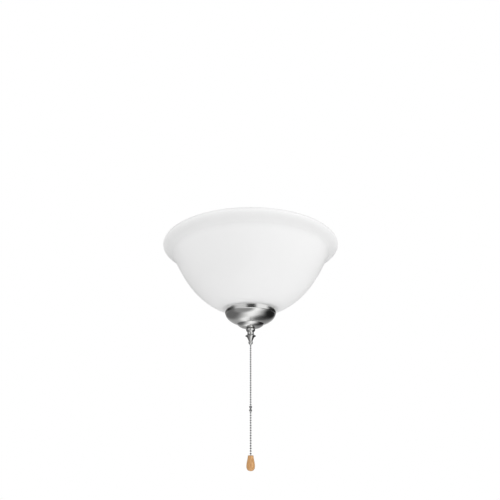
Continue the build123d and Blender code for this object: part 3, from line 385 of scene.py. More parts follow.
# %% Marks that run round the axis
round_group, enter, leave = node_group(
    "round_marks",
    [("Scale", FLOAT, 4000), ("Streak", FLOAT, 3.0)],
    [("Mask", FLOAT)],
)
parts = add(round_group, "SeparateXYZ", {0: object_place(round_group)}).outputs
across_square = maths(round_group, "MULTIPLY", parts["X"], parts["X"])
along_square = maths(round_group, "MULTIPLY", parts["Y"], parts["Y"])
reach = maths(round_group, "SQRT", maths(round_group, "ADD", across_square, along_square))
around = maths(round_group, "ARCTAN2", parts["Y"], parts["X"])
stretched = add(
    round_group,
    "CombineXYZ",
    {
        "X": maths(round_group, "MULTIPLY", reach, enter.outputs["Scale"]),
        "Y": maths(round_group, "MULTIPLY", parts["Z"], enter.outputs["Scale"]),
        "Z": maths(round_group, "MULTIPLY", around, enter.outputs["Streak"]),
    },
).outputs[0]
given_out(round_group, leave, {"Mask": noise(round_group, stretched, 1.0, 2.0)})

# %% [markdown]
# ### A moulded or painted skin
#
# Plastic and paint keep a faint pebbled skin from the mould or the spray gun.
# One noise with several layers is enough for it, used as height.

# %% A moulded or painted skin
skin_group, enter, leave = node_group(
    "moulded_skin", [("Scale", FLOAT, 2500)], [("Height", FLOAT)]
)
pebbles = noise(skin_group, object_place(skin_group), enter.outputs["Scale"], 4.0, 0.6)
given_out(skin_group, leave, {"Height": pebbles})

# %% [markdown]
# ### Edges that are rubbed
#
# Hands and cloths rub the outer edges first. Pointiness tells how sharp a
# surface is at a place, so it finds those edges without any painting. A patchy
# noise breaks the line up, because wear is never even.

# %% Edges that are rubbed
wear_group, enter, leave = node_group(
    "edge_wear",
    [
        ("Color", COLOUR, (0.5, 0.5, 0.5, 1)),
        ("Worn Color", COLOUR, (0.8, 0.8, 0.8, 1)),
        ("Amount", FLOAT, 0.5),
    ],
    [("Color", COLOUR)],
)
ridge_start, ridge_full = 0.53, 0.62
patch_scale = 600.0
wear_gain = 1.6
sharpness = add(wear_group, "NewGeometry").outputs["Pointiness"]
ridge = spread(wear_group, sharpness, ridge_start, ridge_full)
patches = noise(wear_group, object_place(wear_group), patch_scale, 3.0)
rubbed = maths(wear_group, "MULTIPLY", maths(wear_group, "MULTIPLY", ridge, patches), wear_gain)
rubbed = maths(wear_group, "MULTIPLY", rubbed, enter.outputs["Amount"])
worn = blended(wear_group, rubbed, enter.outputs["Color"], enter.outputs["Worn Color"])
given_out(wear_group, leave, {"Color": worn})

# %% [markdown]
# ### Turned wood
#
# A picture of wood would smear over a round shape. Rings worked out in space cut
# through the shape as they do through a real block. They are bent a little, and
# long thin fibres run through them.

# %% Turned wood
wood_group, enter, leave = node_group(
    "turned_wood",
    [
        ("Light", COLOUR, (0.62, 0.36, 0.16, 1)),
        ("Dark", COLOUR, (0.45, 0.23, 0.09, 1)),
        ("Ring Scale", FLOAT, 300),
    ],
    [("Color", COLOUR), ("Height", FLOAT)],
)
pith_place = (4 * MM, 11 * MM, 0)
grain_lean = (0.07, 0.05, 0)
fibre_stretch = (1, 1, 0.06)
fibre_scale = 3500.0
band_weight = 0.45
fibre_weight = 0.55
where = object_place(wood_group)
lean_feeds = {"Vector": where, "Location": pith_place, "Rotation": grain_lean}
leaning = add(wood_group, "Mapping", lean_feeds).outputs[0]
bands = add(
    wood_group,
    "TexWave",
    {
        "Vector": leaning,
        "Scale": enter.outputs["Ring Scale"],
        "Distortion": 3.5,
        "Detail": 2.0,
        "Detail Scale": 1.5,
    },
    wave_type="RINGS",
    rings_direction="Z",
).outputs["Fac"]
stretch = add(wood_group, "Mapping", {"Vector": where, "Scale": fibre_stretch}).outputs[0]
fibres = noise(wood_group, stretch, fibre_scale, 4.0, 0.65)
band_part = maths(wood_group, "MULTIPLY", bands, band_weight)
fibre_part = maths(wood_group, "MULTIPLY", fibres, fibre_weight)
tone = between(wood_group, maths(wood_group, "ADD", band_part, fibre_part), 0.0, 1.0)
wooden = blended(wood_group, tone, enter.outputs["Dark"], enter.outputs["Light"])
given_out(wood_group, leave, {"Color": wooden, "Height": fibres})

# %% [markdown]
# ## Finishes
#
# Each record slot gets one material. A metal takes its colour from the drifting
# tone and the rubbed edges, its roughness from the marks that the tool left,
# and a faint relief from the same marks. Values that are equal all over the
# surface are set on the shader's own sockets.

# %% Material helpers
def surface(name, values):
    """A material with its Principled shader's plain values set."""
    material = bpy.data.materials.new(name)
    material.use_nodes = True
    shader = material.node_tree.nodes["Principled BSDF"]
    for label, value in values.items():
        shader.inputs[label].default_value = value
    return material, material.node_tree, shader


def placed(tree, group, feeds):
    """One of the shared groups, with its inputs set."""
    return add(tree, "Group", feeds, node_tree=group).outputs


def relief(tree, shader, height, depth, strength=1.0):
    """A bump of the given depth in metres."""
    bump = add(tree, "Bump", {"Height": height, "Distance": depth, "Strength": strength})
    tree.links.new(bump.outputs["Normal"], shader.inputs["Normal"])


def worn_colour(tree, shader, colour, lighter, cloud_scale, drift, wear):
    """Gives a shader its drifting colour with rubbed edges, and returns the drift's mask."""
    feeds = {"Color": (*colour, 1), "Scale": cloud_scale, "Amount": drift}
    toned = placed(tree, drift_group, feeds)
    feeds = {"Color": toned["Color"], "Worn Color": (*lighter, 1), "Amount": wear}
    tree.links.new(placed(tree, wear_group, feeds)["Color"], shader.inputs["Base Color"])
    return toned["Mask"]


def metal(slot, colour, roughness, marks=4000.0, depth=0.002, drift=0.05, wear=0.3):
    """A metal whose tool marks run round its axis."""
    material, tree, shader = surface(slot, {"Metallic": 1.0})
    lighter = tuple(min(1.0, share * 1.25) for share in colour)
    worn_colour(tree, shader, colour, lighter, 60.0, drift, wear)
    lines = placed(tree, round_group, {"Scale": marks, "Streak": 3.0})["Mask"]
    rough = between(tree, lines, roughness * 0.75, roughness * 1.25)
    tree.links.new(rough, shader.inputs["Roughness"])
    relief(tree, shader, lines, depth * MM)
    finishes[slot] = material


def moulded(
    slot, colour, roughness, skin=2500.0, depth=0.004, drift=0.05, wear=0.15, bright=1.3, values=None
):
    """A plastic, rubber or paint with a fine skin and faintly rubbed edges."""
    material, tree, shader = surface(slot, values or {})
    lighter = tuple(min(1.0, share * bright + 0.01) for share in colour)
    clouds = worn_colour(tree, shader, colour, lighter, 50.0, drift, wear)
    rough = between(tree, clouds, roughness * 0.85, min(1.0, roughness * 1.15))
    tree.links.new(rough, shader.inputs["Roughness"])
    relief(tree, shader, placed(tree, skin_group, {"Scale": skin})["Height"], depth * MM)
    finishes[slot] = material


# %% Metals
# Painted shade: this near-black specular tint darkens the polished finial and the chain toward their outlines.
painted_dark_rim_tint = (0.08, 0.08, 0.08, 1)
metal("brushed_nickel", (0.90, 0.90, 0.89), 0.18, marks=5200.0, depth=0.0012, drift=0.03, wear=0.1)
metal("polished_nickel", (0.88, 0.88, 0.87), 0.05, marks=3000.0, depth=0.0004, drift=0.04, wear=0.1)
metal("chain_steel", (0.42, 0.42, 0.43), 0.14, marks=6000.0, depth=0.0008, drift=0.06, wear=0.2)
for slot in ("polished_nickel", "chain_steel"):
    finishes[slot].node_tree.nodes["Principled BSDF"].inputs["Specular Tint"].default_value = painted_dark_rim_tint
metal("zinc_steel", (0.66, 0.67, 0.69), 0.3, marks=1500.0, drift=0.1)
metal("brass", (0.80, 0.62, 0.32), 0.26, marks=3500.0, drift=0.08)
metal("shell_aluminium", (0.80, 0.80, 0.81), 0.3, marks=3500.0, depth=0.0015)
metal("spring_steel", (0.55, 0.56, 0.58), 0.28, marks=3500.0, depth=0.001, drift=0.06)
print("metals:", len(finishes))

# %% Paints, plastics and rubber
moulded(
    "painted_housing", (0.50, 0.50, 0.49), 0.34, skin=1800.0, depth=0.003, wear=0.25,
    values={"Metallic": 0.75, "Coat Weight": 0.35, "Coat Roughness": 0.2},
)
moulded("holder_phenolic", (0.035, 0.031, 0.029), 0.4, skin=1500.0, depth=0.006, wear=0.3, bright=2.2)
moulded("bulb_white", (0.86, 0.86, 0.84), 0.3, depth=0.002, drift=0.02)
moulded("bulb_globe", (0.88, 0.88, 0.86), 0.42, depth=0.001, drift=0.015, wear=0.0)
moulded("lead_black", (0.025, 0.025, 0.025), 0.42, depth=0.003, wear=0.2, bright=2.0)
moulded("lead_white", (0.80, 0.80, 0.77), 0.42, depth=0.003, drift=0.04)
moulded("connector", (0.72, 0.25, 0.05), 0.38, wear=0.3)
moulded("black_rubber", (0.03, 0.03, 0.03), 0.6, skin=1800.0, depth=0.008, wear=0.2, bright=2.0)
moulded("white_nylon", (0.78, 0.78, 0.74), 0.45, depth=0.003, drift=0.04)
print("finishes:", len(finishes))

# %% [markdown]
# ## Opal glass
#
# Opal glass is white all through, because tiny particles in it scatter the
# light. Its skin is blown smooth and then acid-dipped to a satin. A shader for
# clear glass would be wrong here: a pale base with a little subsurface
# scattering gives the soft look, and a thin satin gloss sits on top.
#
# The glass colour carries painted light and shade. It is a touch greyer, a painted
# shade, where the glass bends out to the lip, and whiter, a painted light, near
# the foot. Two soft masks by height carry that.

# %% Opal glass finish
opal, tree, shader = surface(
    "opal_glass",
    {
        "Subsurface Weight": 0.8,
        "Subsurface Radius": (1.0, 1.0, 1.0),
        "Subsurface Scale": 12 * MM,
        "Specular IOR Level": 0.18,
        "Coat Weight": 0.15,
        "Coat Roughness": 0.3,
        "IOR": 1.5,
    },
)
glass_feeds = {"Color": (0.86, 0.86, 0.86, 1), "Scale": 14.0, "Amount": 0.012}
glass_tone = placed(tree, drift_group, glass_feeds)
height = add(tree, "SeparateXYZ", {0: object_place(tree)}).outputs["Z"]


def height_mask(start, end, low, high):
    """A value that changes smoothly from low to high between two heights."""
    return spread(tree, height, start, end, low, high, interpolation_type="SMOOTHSTEP")


bend_low = rim_z - 26 * MM
bend_high = rim_z - 3 * MM
bend_middle = rim_z - 12 * MM
foot_light_end = rim_z - 60 * MM
# Painted shade: the glass colour is darkened by this share where the bowl bends out to the lip.
bend_shade_share = 0.08
# Painted light: the glass colour is lightened by this share near the foot.
foot_light_share = 0.05
bend_shade_rising = height_mask(bend_low, bend_middle, 0, bend_shade_share)
painted_bend_shade = maths(tree, "MULTIPLY", bend_shade_rising, height_mask(bend_middle, bend_high, 1, 0))
painted_foot_light = height_mask(bowl_bottom, foot_light_end, foot_light_share, 0)
# The glass colour with the painted shade at the bend and the painted light at the foot.
painted_light_and_shade = maths(tree, "ADD", maths(tree, "SUBTRACT", 1.0, painted_bend_shade), painted_foot_light)
glass_with_painted_light = scaled(tree, glass_tone["Color"], painted_light_and_shade)
tree.links.new(glass_with_painted_light, shader.inputs["Base Color"])
tree.links.new(between(tree, glass_tone["Mask"], 0.34, 0.42), shader.inputs["Roughness"])
relief(tree, shader, placed(tree, skin_group, {"Scale": 140.0})["Height"], 0.03 * MM, 0.5)
finishes["opal_glass"] = opal
print("opal glass")

# %% [markdown]
# ## Pendant wood
#
# The pendant is a small lump of pale hardwood, turned and dipped in clear
# lacquer. The grain follows the tree's rings, leaning a little from the axis,
# and the lacquer is a coat over it.

# %% Pendant wood finish
wood, tree, shader = surface(
    "pendant_wood", {"Roughness": 0.42, "Coat Weight": 0.5, "Coat Roughness": 0.18}
)
grained = placed(
    tree,
    wood_group,
    {"Light": (0.74, 0.42, 0.17, 1), "Dark": (0.52, 0.25, 0.085, 1), "Ring Scale": 260.0},
)
tree.links.new(grained["Color"], shader.inputs["Base Color"])
relief(tree, shader, grained["Height"], 0.02 * MM, 0.6)
finishes["pendant_wood"] = wood
print("finishes:", len(finishes))

# %% [markdown]
# ## Dressing the solids
#
# Every solid takes the finish of its record slot. Those whose shape is already
# right, such as the pressed housing, the plate and the brackets, stay as they
# are. The others are replaced further down.

# %% Finishes on the solids
slot_of = {part["node"]: part["material_slot"] for part in frame["record"]["subparts"]}
for node_name, node in frame["nodes"].items():
    node.data.materials.clear()
    node.data.materials.append(finishes[slot_of[node_name]])
    node.data.shade_smooth()
    node.data.set_sharp_from_angle(angle=smooth_limit)
print("dressed solids:", len(slot_of))

# %% [markdown]
# ## The opal glass bowl
#
# The bowl is blown into a mould, so its section is one line turned round the
# axis: a fat rolled lip, a groove under it where the wall pinches in, a long
# convex wall and a flat foot with a hole. The groove and the lip are what the
# eye knows it by, and they need many points, so the profile is drawn with the
# same handles as the solid but sampled finely.

# %% Bowl
bowl_radius = 152.5 * MM
glass_wall = 4.0 * MM
lip_round = 5.9 * MM
lip_overhang = 16.4 * MM
groove_drop = 17.7 * MM
inner_lip_inset = 6.9 * MM
foot_radius = 45.5 * MM
hole_radius = 6.4 * MM
lip_handle_shares = [(1.0, 0.43), (0.09, 0.84)]
wall_handle_shares = [(0.787, 0.445), (0.665, 0.765), (0.404, 0.957)]

bowl_depth = rim_z - bowl_bottom
glass_floor = bowl_bottom + glass_wall
groove_radius = bowl_radius - lip_overhang
groove = (groove_radius, rim_z - groove_drop)
lip_side = (bowl_radius, rim_z - lip_round)
under_lip = [
    (groove_radius + out * lip_overhang, rim_z - down * groove_drop) for out, down in lip_handle_shares
]
outer_wall = [groove, *handles((bowl_radius, rim_z), bowl_depth, wall_handle_shares)]
inner_wall = moved_in(outer_wall, -glass_wall)
outer_turn = Vector(outer_wall[3]) - Vector(outer_wall[2])
inner_turn = Vector(inner_wall[3]) - Vector(inner_wall[2])
lip_turn = Vector(inner_wall[0]) - Vector(inner_wall[1])

bowl_profile = arc((bowl_radius - lip_round, rim_z - lip_round), lip_round, 90, 0)
bowl_profile += bezier([lip_side, *under_lip, groove])[1:]
bowl_profile += bezier(outer_wall, 60)[1:]
bowl_profile += arc_along(outer_wall[3], (foot_radius, bowl_bottom), outer_turn)[1:]
bowl_profile += [(hole_radius, bowl_bottom), (hole_radius, glass_floor)]
inner_profile = arc_along(inner_wall[3], (foot_radius, glass_floor), inner_turn)[::-1]
inner_profile += bezier(inner_wall, 60)[::-1][1:]
inner_profile += arc_along(inner_wall[0], (bowl_radius - inner_lip_inset, rim_z), lip_turn)[1:]
bowl_mesh = turned("opal_bowl", bowl_profile + inner_profile, steps=256)
finished(bowl_mesh, "kit", "opal_glass", "glass_bowl")

# %% [markdown]
# ## The spun cup
#
# A disc of metal is spun over a form into this cup. A short band stands against
# the glass, a small step turns in under it, then comes the round belly and a
# lower dome. The wall has the same thickness all over, so the inner line is the
# outer one moved in. A Solidify modifier could thicken a single sheet as well,
# but the rim has to end square under the glass and the hole square at the
# finial, so both lines are drawn.

# %% Cup
cap_radius = 43.3 * MM
cap_wall = 0.9 * MM
cap_band = 8.0 * MM
cap_step = 0.7 * MM
cap_dome_radius = 23.0 * MM
cap_dome_height = 7.0 * MM
cap_floor_radius = 9.0 * MM
cap_hole = 5.15 * MM
cap_belly_shares = [(0.98, 0.42), (0.78, 0.83)]
cap_dome_shares = [(0.9, 0.5), (0.7, 1.0)]

band_z = bowl_bottom - cap_band
belly_top = (cap_radius - cap_step, band_z - cap_step)
dome_top_z = cap_bottom + cap_dome_height
belly_span = belly_top[1] - dome_top_z
belly_foot = (cap_dome_radius, dome_top_z)
dome_foot = (cap_floor_radius, cap_bottom)
belly = [belly_top, *handles(belly_top, belly_span, cap_belly_shares), belly_foot]
dome = [belly_foot, *handles(belly_foot, cap_dome_height, cap_dome_shares), dome_foot]
inner_belly = moved_in(belly, -cap_wall)
inner_dome = moved_in(dome, -cap_wall)
inner_dome[-1] = (inner_dome[-1][0], cap_bottom + cap_wall)

cap_profile = [(cap_radius, bowl_bottom), (cap_radius, band_z)]
cap_profile += bezier(belly, 40) + bezier(dome, 24)[1:]
cap_profile += [(cap_hole, cap_bottom), (cap_hole, cap_bottom + cap_wall)]
cap_profile += bezier(inner_dome, 24)[::-1] + bezier(inner_belly, 40)[::-1]
cap_profile += [(cap_radius - cap_wall, band_z + cap_step), (cap_radius - cap_wall, bowl_bottom)]
finished(turned("spun_cup", cap_profile, steps=192), "kit", "brushed_nickel", "bottom_cap")

# %% [markdown]
# ## The finial
#
# The finial is turned from bar: a round head, a waisted neck, a flare with a
# sharp edge, a cone and a ball tip, with a hole right through for the chain. One
# profile of arcs and straight runs makes it, as the tool cuts it from the bar.
# The neck is nearly straight and turns out only close to its ends, so a high
# power of the distance from its middle draws it.

# %% Finial
finial_head = 7.5 * MM
finial_head_height = 5.6 * MM
finial_neck = 5.3 * MM
finial_neck_height = 5.6 * MM
finial_flare = 8.7 * MM
finial_flare_height = 1.9 * MM
finial_edge = 0.7 * MM
finial_flare_edge = 1.2 * MM
finial_cone_top = 6.6 * MM
finial_cone_bottom = 2.9 * MM
finial_cone_height = 8.2 * MM
finial_ball = 3.65 * MM
finial_round = 1.9 * MM
chain_hole = 2.15 * MM
thread_bore = 4.9 * MM
rod_gap = 0.3 * MM
neck_steps = 16
neck_flat_power = 6

neck_z = finial_top - finial_head_height
flare_z = neck_z - finial_neck_height
edge_z = flare_z - finial_flare_height
cone_z = edge_z - finial_edge
edge_top_z = cone_z + finial_flare_edge
ball_neck_z = cone_z - finial_cone_height
ball_z = ball_neck_z - math.sqrt(finial_ball**2 - finial_cone_bottom**2)
bore_end = low_of("rod") - rod_gap
neck_side = finial_neck + finial_edge
under_head = finial_head - neck_side

finial_profile = arc((finial_head - finial_round, finial_top - finial_round), finial_round, 90, 0)
finial_profile += arc((finial_head - under_head, neck_z + finial_round), under_head, 0, -90, 8)
for step in range(1, neck_steps):
    drop = finial_neck_height * step / neck_steps
    off = abs(2 * drop / finial_neck_height - 1)
    finial_profile.append((finial_neck + finial_edge * off**neck_flat_power, neck_z - drop))
finial_profile += [(neck_side, flare_z), (finial_flare, edge_top_z)]
finial_profile += [(finial_flare - finial_edge / 2, cone_z), (finial_cone_top, cone_z)]
finial_profile += [(finial_cone_bottom, ball_neck_z)]
ball_first = math.degrees(math.asin((ball_neck_z - ball_z) / finial_ball))
ball_last = -math.degrees(math.acos(chain_hole / finial_ball))
finial_profile += arc((0, ball_z), finial_ball, ball_first, ball_last, 20)[1:]
finial_profile += [(chain_hole, bore_end), (thread_bore, bore_end), (thread_bore, finial_top)]
finial_mesh = turned("turned_finial", finial_profile, steps=96)
finished(finial_mesh, "finial", "polished_nickel", "finial")

# %% [markdown]
# ## Bead chain
#
# Each bead is a hollow ball rolled from strip, and a short pin with swollen
# ends links it to the next. The solids use flat-sided rings to stay light. Here
# the balls are round, with a dimple where a pin enters, and the pins are thin,
# because the light gaps between the dark balls are what makes a bead chain look
# right. An Array modifier could copy a bead with its pin, but the pins at the
# ends of a run differ from the others, so a loop adds them all to one mesh.

# %% Chain
bead_radius = 1.38 * MM
bead_pitch = 3.75 * MM
pin_radius = 0.26 * MM
hole_lip = 0.5 * MM
upper_beads = 26
lower_beads = 18
coupling_pitch = 5.2 * MM
dimple_radius = hole_lip * 0.8
dimple_reach = bead_radius * 0.86
pin_waist = pin_radius * 0.85
lower_start = coupling_z - coupling_pitch
hidden_beads = round((high_of("chain_in_rod") - mouth_z) / bead_pitch)


def bead(mesh, height):
    """One ball with a dimple round each pin hole."""
    dimple = math.degrees(math.acos(hole_lip / bead_radius))
    top, bottom = height + dimple_reach, height - dimple_reach
    profile = [(0, top), (dimple_radius, top)]
    profile += arc((0, height), bead_radius, dimple, -dimple, 14)
    profile += [(dimple_radius, bottom), (0, bottom)]
    ringed(mesh, circles(profile), 20)


def pin(mesh, top, bottom):
    """The waisted pin between two balls."""
    profile = [(0, top), (pin_radius, top), (pin_waist, (top + bottom) / 2)]
    profile += [(pin_radius, bottom), (0, bottom)]
    ringed(mesh, circles(profile), 12)


def bead_run(name, centres, body, node, pin_above=False, pin_below=False):
    """A run of beads and the pins between them."""
    mesh = bpy.data.meshes.new(name)
    for centre in centres:
        bead(mesh, centre)
    inside = bead_radius / 2
    for first, last in zip(centres, centres[1:]):
        pin(mesh, first - inside, last + inside)
    if pin_above:
        pin(mesh, centres[0] + bead_pitch - inside, centres[0] + inside)
    if pin_below:
        pin(mesh, centres[-1] - inside, centres[-1] - bead_pitch / 2)
    finished(mesh, body, "chain_steel", node)


hidden_places = [mouth_z + (hidden_beads - index) * bead_pitch for index in range(hidden_beads)]
upper_places = [mouth_z - (index + 1) * bead_pitch for index in range(upper_beads)]
lower_places = [lower_start - index * bead_pitch for index in range(lower_beads + 1)]
bead_run("hidden_beads", hidden_places, "pull", "chain_in_rod", pin_below=True)
bead_run("mouth_ball", [mouth_z], "mouth_link", "mouth_bead")
bead_run("upper_bead_run", upper_places, "upper_chain", "upper_chain", pin_above=True)
bead_run("lower_bead_run", lower_places, "coupling", "lower_chain")
print("beads:", hidden_beads + 1 + upper_beads + lower_beads + 1)

# %% [markdown]
# ## The chain's coupling
#
# Two lengths of chain snap into a coupling. It is stamped from sheet and rolled
# round both end balls, with an open seam down one side for them to go in. A cut
# through a whole turned piece would leave ragged edges. So it is turned over
# less than a full circle, and its two free edges are closed.

# %% Coupling
coupling_pocket = 1.8 * MM
coupling_bulge = 2.25 * MM
coupling_waist = 1.05 * MM
waist_bore = 0.7 * MM
coupling_mouth = 1.3 * MM
seam_half = 32
seam_middle = 115


def seamed(name, profile, first, last, steps=64):
    """A mesh turned from a closed profile over part of a circle, in degrees."""
    outlines = []
    for step in range(steps + 1):
        angle = math.radians(first + (last - first) * step / steps)
        across = Vector((math.cos(angle), math.sin(angle), 0))
        outlines.append([across * radius + Vector((0, 0, z)) for radius, z in profile])
    return capped(name, outlines)


def lean(across, radius):
    """The angle in degrees at which a ball's surface is that far from the axis."""
    return math.degrees(math.acos(across / radius))


top_ball = (0, coupling_z)
low_ball = (0, lower_start)
outer_mouth = lean(coupling_mouth, coupling_bulge)
outer_waist = lean(coupling_waist, coupling_bulge)
inner_mouth = lean(coupling_mouth, coupling_pocket)
inner_waist = lean(waist_bore, coupling_pocket)
coupling_profile = arc(top_ball, coupling_bulge, outer_mouth, -outer_waist)
coupling_profile += arc(low_ball, coupling_bulge, outer_waist, -outer_mouth)
coupling_profile += arc(low_ball, coupling_pocket, -inner_mouth, inner_waist)
coupling_profile += arc(top_ball, coupling_pocket, -inner_waist, inner_mouth)
seam_end = seam_middle + seam_half
coupling_mesh = seamed("stamped_coupling", coupling_profile, seam_end, seam_end + 360 - 2 * seam_half)
finished(coupling_mesh, "coupling", "chain_steel", "chain_coupling")

# %% [markdown]
# ## The wooden pendant
#
# The pendant is a drop that widens to its lower third and rounds off below. A
# bore in its flat top takes the last ball of the chain. Its side is two curves,
# as one alone can't be both slender above and full below. Their handles lie
# almost in one line where they meet, so the join doesn't show.

# %% Pendant
pendant_top_radius = 4.3 * MM
pendant_height = pendant_top - low_of("pendant")
pendant_edge = 0.5 * MM
pendant_bore = 2.1 * MM
pendant_bore_depth = 4.4 * MM
pendant_side_shares = [(1.09, 0.28), (1.55, 0.46), (1.523, 0.70)]
pendant_foot_shares = [(1.5, 0.93), (0.85, 1.0), (0.0, 1.0)]

shoulder = (pendant_top_radius, pendant_top)
edge_centre = (pendant_top_radius - pendant_edge, pendant_top - pendant_edge)
side = handles(shoulder, pendant_height, pendant_side_shares)
foot = handles(shoulder, pendant_height, pendant_foot_shares)
bore_floor = pendant_top - pendant_bore_depth
pendant_profile = [(pendant_bore, pendant_top), *arc(edge_centre, pendant_edge, 90, 0, 6)]
pendant_profile += bezier([pendant_profile[-1], *side], 30)[1:]
pendant_profile += bezier([side[-1], *foot], 24)[1:]
pendant_profile += [(0, bore_floor), (pendant_bore, bore_floor)]
pendant_mesh = turned("turned_pendant", pendant_profile, steps=72)
finished(pendant_mesh, "pendant", "pendant_wood", "pendant")

# %% [markdown]
# ## Threads
#
# A thread is a groove that climbs one pitch for each turn. On a lathe mesh it
# is enough to move each point in by an amount that depends on its height less
# its share of a turn. The pipe and the rod have a fine V thread, and a bulb's
# cap has a coarse round one.

# %% Thread helpers
pipe_pitch = 0.94 * MM
pipe_depth = 0.42 * MM
rows_a_pitch = 6
uncut_radius = 4.6 * MM


def rows_between(radius, top, bottom, pitch):
    """Profile points close enough together to carry a thread."""
    count = max(2, math.ceil((top - bottom) / pitch * rows_a_pitch))
    return [(radius, top + (bottom - top) * index / count) for index in range(count + 1)]


def vee_thread(*runs):
    """How far a V thread cuts in, for each run of (top, bottom) height."""
    def cut(angle, radius, height):
        if radius < uncut_radius:
            return 0.0
        for top, bottom in runs:
            if bottom <= height <= top:
                ramp = min(1.0, (top - height) / pipe_pitch, (height - bottom) / pipe_pitch)
                phase = (height / pipe_pitch - angle / (2 * math.pi)) % 1
                return pipe_depth * max(0.0, ramp) * (1 - abs(2 * phase - 1))
        return 0.0

    return cut


# %% Threaded nipple
pipe_radius = 4.85 * MM
pipe_bore = 3.25 * MM
pipe_neck = 4.5 * MM
pipe_chamfer = 0.6 * MM
nipple_foot = 6.4 * MM
nipple_top = high_of("nipple")
nipple_low = low_of("nipple")
neck_low = nipple_low + nipple_foot

nipple_profile = [(pipe_bore, nipple_top), (pipe_radius - pipe_chamfer, nipple_top)]
nipple_profile += rows_between(pipe_radius, nipple_top - pipe_chamfer, 0, pipe_pitch)
nipple_profile += [(pipe_neck, 0), (pipe_neck, neck_low)]
nipple_profile += rows_between(pipe_radius, neck_low, nipple_low + pipe_chamfer, pipe_pitch)
nipple_profile += [(pipe_radius - pipe_chamfer, nipple_low), (pipe_bore, nipple_low)]
nipple_cut = vee_thread((nipple_top, 0), (neck_low, nipple_low))
nipple_mesh = turned("threaded_nipple", nipple_profile, 48, nipple_cut)
finished(nipple_mesh, "kit", "zinc_steel", "nipple")

# %% Threaded rod
rod_top = high_of("rod")
rod_low = low_of("rod")
rod_top_run = 20 * MM
rod_low_run = 16 * MM
rod_top_thread = rod_top - rod_top_run
rod_low_thread = glass_floor + rod_low_run

rod_profile = [(pipe_bore, rod_top), (pipe_radius - pipe_chamfer, rod_top)]
rod_profile += rows_between(pipe_radius, rod_top - pipe_chamfer, rod_top_thread, pipe_pitch)
rod_profile += rows_between(pipe_radius, rod_low_thread, rod_low + pipe_chamfer, pipe_pitch)
rod_profile += [(pipe_radius - pipe_chamfer, rod_low), (pipe_bore, rod_low)]
rod_cut = vee_thread((rod_top, rod_top_thread), (rod_low_thread, rod_low))
finished(turned("threaded_rod", rod_profile, 40, rod_cut), "kit", "zinc_steel", "rod")

# %% [markdown]
# ## Hexagon nuts
#
# A nut is a hexagon whose corners are cut by a cone on both faces. As a ring,
# the hexagon is a radius that depends on the angle, and the cone lowers each
# point by how far it stands outside the flat face's circle.

# %% Nuts
half_side = math.radians(30)
nut_slope = math.tan(half_side)
nut_face_share = 0.97


def add_nut(mesh, bottom, height, across, bore):
    """One chamfered hexagon nut."""
    face = across / 2 * nut_face_share
    top = bottom + height

    def reach(angle):
        return across / 2 / math.cos(angle % (2 * half_side) - half_side)

    rings = [
        lambda angle: (bore, top),
        lambda angle: (face, top),
        lambda angle: (reach(angle), top - (reach(angle) - face) * nut_slope),
        lambda angle: (reach(angle), bottom + (reach(angle) - face) * nut_slope),
        lambda angle: (face, bottom),
        lambda angle: (bore, bottom),
    ]
    ringed(mesh, rings, 72)


def nuts(name, node, bottoms, height, across, bore):
    """The nuts that one node stands for, in one mesh."""
    mesh = bpy.data.meshes.new(name)
    for bottom in bottoms:
        add_nut(mesh, bottom, height, across, bore)
    finished(mesh, "kit", "brass", node)


thin_nut = 3.2 * MM
rod_nut = 4.6 * MM
bushing_nut = 2.4 * MM
nut_across = 14.0 * MM
bushing_across = 12.0 * MM
bushing_radius = 4.0 * MM
nuts("nipple_hex_nut", "nipple_nut", [low_of("nipple_nut")], thin_nut, nut_across, pipe_radius)
rod_nut_bottoms = [high_of("rod_nuts") - rod_nut, low_of("rod_nuts")]
nuts("rod_hex_nuts", "rod_nuts", rod_nut_bottoms, rod_nut, nut_across, pipe_radius)
nuts("stop_hex_nut", "rod_stop_nut", [low_of("rod_stop_nut")], rod_nut, nut_across, pipe_radius)
switch_nut = [low_of("switch_bushing_nut")]
nuts("bushing_hex_nut", "switch_bushing_nut", switch_nut, bushing_nut, bushing_across, bushing_radius)

# %% [markdown]
# ## Bulb caps and screw shells
#
# Both bulbs have a rolled aluminium cap with a black glass insulator at its
# foot. Their round thread is a wave that goes by the height less the turn. Each
# is built upright on Z and then laid along its holder's axis, which the frame
# gives as the joint on which the bulb turns.

# %% Caps and shells
cap_thread = 13.0 * MM
cap_inside = 11.5 * MM
cap_foot = 4.8 * MM
cap_foot_z = 9.1 * MM
cap_start = 11.7 * MM
cap_end = 32.9 * MM
cap_plain = 27.5 * MM
bulb_pitch = 3.6 * MM
cap_depth = 0.9 * MM
shell_inner = 13.05 * MM
shell_sheet = 0.15 * MM
shell_swell = 0.25 * MM
shell_floor = 6.0 * MM
shell_end = 28.0 * MM
shell_hole = 7.0 * MM
cap_turn_in = 1.3 * MM
shell_low = shell_floor + shell_sheet
uncut_inside = cap_inside + 0.2 * MM
insulator_top = cap_start + 0.2 * MM
thread_rows = 40


def round_wave(angle, height):
    """A round thread's depth at a place, from 0 at its crest to 1 at its root."""
    return 0.5 - 0.5 * math.cos(2 * math.pi * height / bulb_pitch - angle)


def cap_cut(angle, radius, height):
    """The cap's round thread, faded out at both ends."""
    if radius < uncut_inside or not cap_start < height < cap_plain:
        return 0.0
    ramp = min(1.0, (height - cap_start) / bulb_pitch, (cap_plain - height) / bulb_pitch)
    return cap_depth * ramp * round_wave(angle, height)


def shell_cut(angle, radius, height):
    """The shell's thread swells outward, so that the cap can turn inside it."""
    if radius < shell_inner or not shell_low < height < shell_end:
        return 0.0
    return -shell_swell * (1 - round_wave(angle, height))


def wall_points(radius, first, last):
    """Profile points along a straight wall, close enough together for a round thread."""
    return [(radius, first + (last - first) * index / thread_rows) for index in range(thread_rows + 1)]


